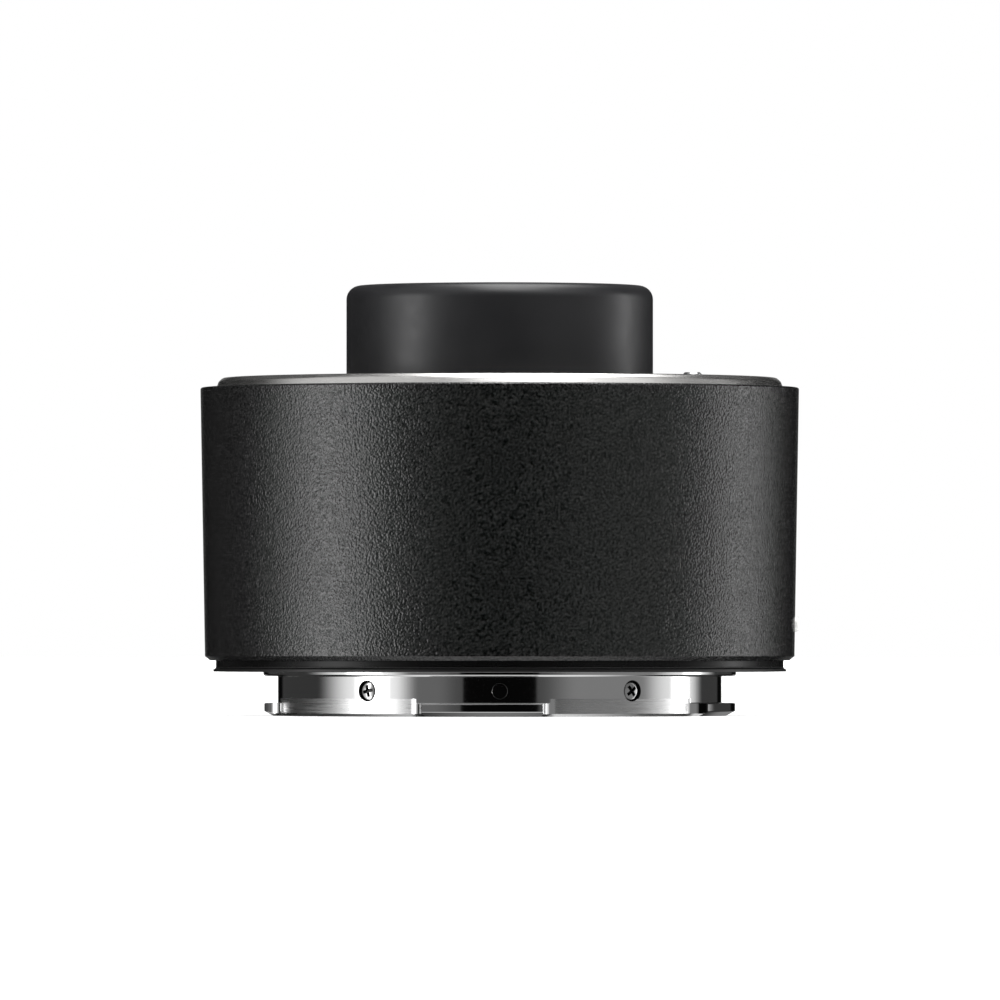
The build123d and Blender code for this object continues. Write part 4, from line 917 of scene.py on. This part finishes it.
# %% Plug in the barrel
PLUG_RADIUS, PLUG_LENGTH, PLUG_SUNK, PLUG_ROUNDING = 0.84, 4.0, 0.02, 0.03
plug_profile = rounded([(0, 0), (PLUG_RADIUS, 0), (PLUG_RADIUS, -PLUG_LENGTH), (0, -PLUG_LENGTH)],
                       PLUG_ROUNDING, closed=False)
plug = placed(lathe(plug_profile, turns(PIN_BEARINGS)), on_barrel(0.0, PLUG_SUNK), around(0.0))
stand_for(build("plug", plug), "dowel_pin", bayonet_chrome)

# %% [markdown]
# ## Springs
# Two kinds of spring hide inside: one under the carrier of the lock pin, and one under each front contact.
# A spring is a wire wound round a helix. It stands on a fixed floor.

# %% Coils
CONTACT_COUNT, CONTACT_PITCH, CONTACT_CIRCLE = 10, 6.5, 19.3
LOCK_WIRE, LOCK_WINDINGS = 0.14, 6
CONTACT_WIRE, CONTACT_WINDINGS = 0.075, 7
WINDING_STEPS, WIRE_SIDES = 24, 8


def coil(radius, wire, windings, length):
    """Wire round a helix about Z. With turn a = 2 pi n t, the middle of the wire is (R cos a, R sin a,
    w + (L - 2 w) t), and a section is w (cos s * outward + sin s * up). Both ends close to a point."""
    t = np.linspace(0, 1, windings * WINDING_STEPS + 1)
    t = np.concatenate([t[:1], t, t[-1:]])
    thick = np.full((len(t), 1, 1), wire)
    thick[[0, -1]] = 0.0
    out = around(360.0 * windings * t)[:, None]
    side = np.linspace(0, 2 * np.pi, WIRE_SIDES, endpoint=False)[None, :, None]
    middle = out * radius + AXIS * (wire + (length - 2 * wire) * t)[:, None, None]
    points = middle + thick * (np.cos(side) * out + np.sin(side) * AXIS)
    index = np.arange(len(t) * WIRE_SIDES).reshape(len(t), WIRE_SIDES)
    across = np.roll(index, -1, axis=1)
    faces = np.stack([index[:-1], across[:-1], across[1:], index[1:]], axis=-1).reshape(-1, 4)
    return points.reshape(-1, 3), faces


def sprung(piece):
    """Gives a spring a mesh of its own."""
    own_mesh(piece)


# %% [markdown]
# ## Springs in place
# Each coil takes its foot, its length and its radius from the box of the CAD spring. The box of the contact
# springs holds all ten, so their radius is read from its nearest side, where the two middle ones stand.

# %% Springs
spring_low, spring_high = box_mm("lock_spring")
spring_length = spring_high[2] - spring_low[2]
spring_radius = (spring_high[0] - spring_low[0]) / 2 - LOCK_WIRE
spring_foot = np.array([*(spring_low + spring_high)[:2] / 2, spring_low[2]])
shape = placed(coil(spring_radius, LOCK_WIRE, LOCK_WINDINGS, spring_length), spring_foot, AXIS)
sprung(stand_for(build("lock_coil", shape), "lock_spring"))

spring_low, spring_high = box_mm("contact_springs")
spring_length = spring_high[2] - spring_low[2]
nearest = CONTACT_CIRCLE * np.cos(np.radians(CONTACT_PITCH / 2))
spring_radius = -spring_low[1] - nearest - CONTACT_WIRE
contact_bearings = CONTACT_PITCH * (np.arange(CONTACT_COUNT) - (CONTACT_COUNT - 1) / 2)
shapes = [placed(coil(spring_radius, CONTACT_WIRE, CONTACT_WINDINGS, spring_length),
                 around(b) * CONTACT_CIRCLE + AXIS * spring_low[2], AXIS) for b in contact_bearings]
print("contact spring radius and length:", round(spring_radius, 3), round(spring_length, 2))
sprung(stand_for(build("contact_coils", joined(shapes)), "contact_springs"))

# %% [markdown]
# ## The floor
# The photograph is a catalogue picture on white. The floor is a plain matt sheet under the mount, and its
# own glow keeps the shadow pale. Shiny pieces don't mirror it, because a real table ends before it fills the
# low horizon.

# %% Floor
FLOOR_SIZE, FLOOR_WHITE, FLOOR_GLOW = 6.0, 0.78, 0.7
floor_height = cad_box[0][2]
floor_mesh = bpy.data.meshes.new("floor")
floor_mesh.from_pydata([(x * FLOOR_SIZE, y * FLOOR_SIZE, floor_height) for x, y in
                        ((-1, -1), (1, -1), (1, 1), (-1, 1))], [], [(0, 1, 2, 3)])
floor = bpy.data.objects.new("floor", floor_mesh)
bpy.context.scene.collection.objects.link(floor)
floor_paper, tree, shader = finish("floor_paper", (FLOOR_WHITE,) * 3, 1.0, Emission_Strength=FLOOR_GLOW)
shader.inputs["Emission Color"].default_value = (1.0, 1.0, 1.0, 1.0)
shader.inputs["Specular IOR Level"].default_value = 0.0
wear(floor, floor_paper)
floor.visible_glossy = False
print("floor at", round(floor_height / MM, 2), "mm")

# %% [markdown]
# ## A studio in the world
# Chrome shows nothing but its surroundings, so the studio is drawn in the world, on the direction in which a
# reflection looks. Three numbers give that direction: across is its X, along is its Y and up is its Z. A
# bearing and a height in degrees are worked out from them.

# %% Directions and slopes
world = bpy.data.worlds.new("studio")
bpy.context.scene.world = world
world.use_nodes = True
tree = world.node_tree
tree.nodes.clear()


def calculate(operation, *values):
    """Math node on numbers or outputs, and its result."""
    node = tree.nodes.new("ShaderNodeMath")
    node.operation = operation
    for socket, value in zip(node.inputs, values):
        if isinstance(value, (int, float)):
            socket.default_value = value
        else:
            tree.links.new(value, socket)
    return node.outputs["Value"]


def slope(value, start, end):
    """Smooth 0 to 1 between start and end, or 1 to 0 where end is below start."""
    node = tree.nodes.new("ShaderNodeMapRange")
    node.interpolation_type = "SMOOTHSTEP"
    tree.links.new(value, node.inputs["Value"])
    node.inputs["From Min"].default_value = min(start, end)
    node.inputs["From Max"].default_value = max(start, end)
    node.inputs["To Min"].default_value = 0.0 if end > start else 1.0
    node.inputs["To Max"].default_value = 1.0 if end > start else 0.0
    return node.outputs["Result"]


def product(*factors):
    """All the factors multiplied."""
    result = factors[0]
    for factor in factors[1:]:
        result = calculate("MULTIPLY", result, factor)
    return result


direction = tree.nodes.new("ShaderNodeTexCoord").outputs["Generated"]
parts = tree.nodes.new("ShaderNodeSeparateXYZ")
tree.links.new(direction, parts.inputs["Vector"])
across, along, up = (parts.outputs[axis] for axis in "XYZ")
bearing = calculate("DEGREES", calculate("ARCTAN2", across, calculate("MULTIPLY", along, -1.0)))
height = calculate("DEGREES", calculate("ARCSINE", up))
print("nodes for the directions:", len(tree.nodes))

# %% [markdown]
# ## A wall of soft cards
# The polished barrel mirrors the studio all round at eye height: a narrow soft box far out at each side with
# a glow about it, dim reflectors nearer the camera, and a black gap where the camera stands. Each card has
# four bearings, where it starts, is full, stops being full and ends, and a level of light.

# %% Wall of light
cards = {
    "left soft box": ((-82.0, -73.0, -66.0, -58.0), 6.0),
    "left glow": ((-110.0, -80.0, -57.0, -42.0), 1.3),
    "left wing": ((-158.0, -152.0, -60.0, -50.0), 0.05),
    "left reflector": ((-52.0, -46.0, -19.4, -18.4), 0.10),
    "left reflector glow": ((-48.0, -42.0, -33.0, -20.0), 0.09),
    "right reflector": ((18.4, 19.4, 84.0, 100.0), 0.10),
    "right reflector glow": ((19.5, 42.0, 84.0, 100.0), 0.20),
    "right glow": ((78.0, 100.0, 115.0, 131.0), 1.2),
    "right soft box": ((99.0, 106.0, 112.0, 118.0), 3.4),
    "right wing": ((110.0, 125.0, 154.0, 158.0), 0.055),
    "back, left half": ((-182.0, -181.0, -172.0, -168.0), 0.28),
    "back, right half": ((168.0, 172.0, 181.0, 182.0), 0.28),
}
WALL_BOTTOM, WALL_TOP = (-52.0, -34.0), (26.0, 6.0)
wall = 0.0
for (start, full, fading, end), level in cards.values():
    card = product(slope(bearing, start, full), slope(bearing, end, fading), level)
    wall = calculate("ADD", wall, card)
wall = product(wall, slope(height, *WALL_BOTTOM), slope(height, *WALL_TOP))
print("cards in the wall of light:", len(cards))

# %% [markdown]
# ## Light from above and below
# The front ring and the nose's edge mirror what hangs above: a long soft box along the middle and dimmer
# sheets beside it. The chamfers under the barrel mirror the bright table below. Each light has a level and
# the slopes that fade its edges, all multiplied.

# %% Light from above and below
DARKEST = 0.003
SHEET_FOOT, SHEET_FAR = (up, 0.22, 0.45), (along, 0.50, 0.10)
sheets = {
    "long soft box": (10.0, (across, -0.30, 0.02), (across, 0.56, 0.12), (along, -0.85, -0.45),
                      (along, 0.54, 0.34), (up, 0.05, 0.3)),
    "left sheet": (0.85, (across, 0.10, -0.60), SHEET_FAR, SHEET_FOOT),
    "right sheet": (0.45, (across, 0.10, 0.60), SHEET_FAR, SHEET_FOOT),
    "front right sheet": (0.9, (across, 0.30, 0.50), (across, 1.10, 0.75), (along, -0.02, -0.35),
                          SHEET_FOOT),
    "rear sheet": (0.10, (height, 14, 30), (height, 66, 50), (along, 0.25, 0.6)),
    "table": (1.2, (height, -46, -72)),
}
light = calculate("ADD", wall, DARKEST)
for level, *edges in sheets.values():
    light = calculate("ADD", light, product(level, *(slope(*edge) for edge in edges)))
print("sheets of light above and below:", len(sheets))

# %% [markdown]
# ## White behind the object
# The camera itself sees plain white where it looks past the object, and only reflections and shading see
# the studio.

# %% Backdrop
studio = tree.nodes.new("ShaderNodeBackground")
tree.links.new(light, studio.inputs["Strength"])
backdrop = tree.nodes.new("ShaderNodeBackground")
backdrop.inputs["Color"].default_value = (1.0, 1.0, 1.0, 1.0)
seen = tree.nodes.new("ShaderNodeLightPath")
mix = tree.nodes.new("ShaderNodeMixShader")
tree.links.new(seen.outputs["Is Camera Ray"], mix.inputs[0])
tree.links.new(studio.outputs["Background"], mix.inputs[1])
tree.links.new(backdrop.outputs["Background"], mix.inputs[2])
output = tree.nodes.new("ShaderNodeOutputWorld")
tree.links.new(mix.outputs["Shader"], output.inputs["Surface"])
print("nodes in the world:", len(tree.nodes))
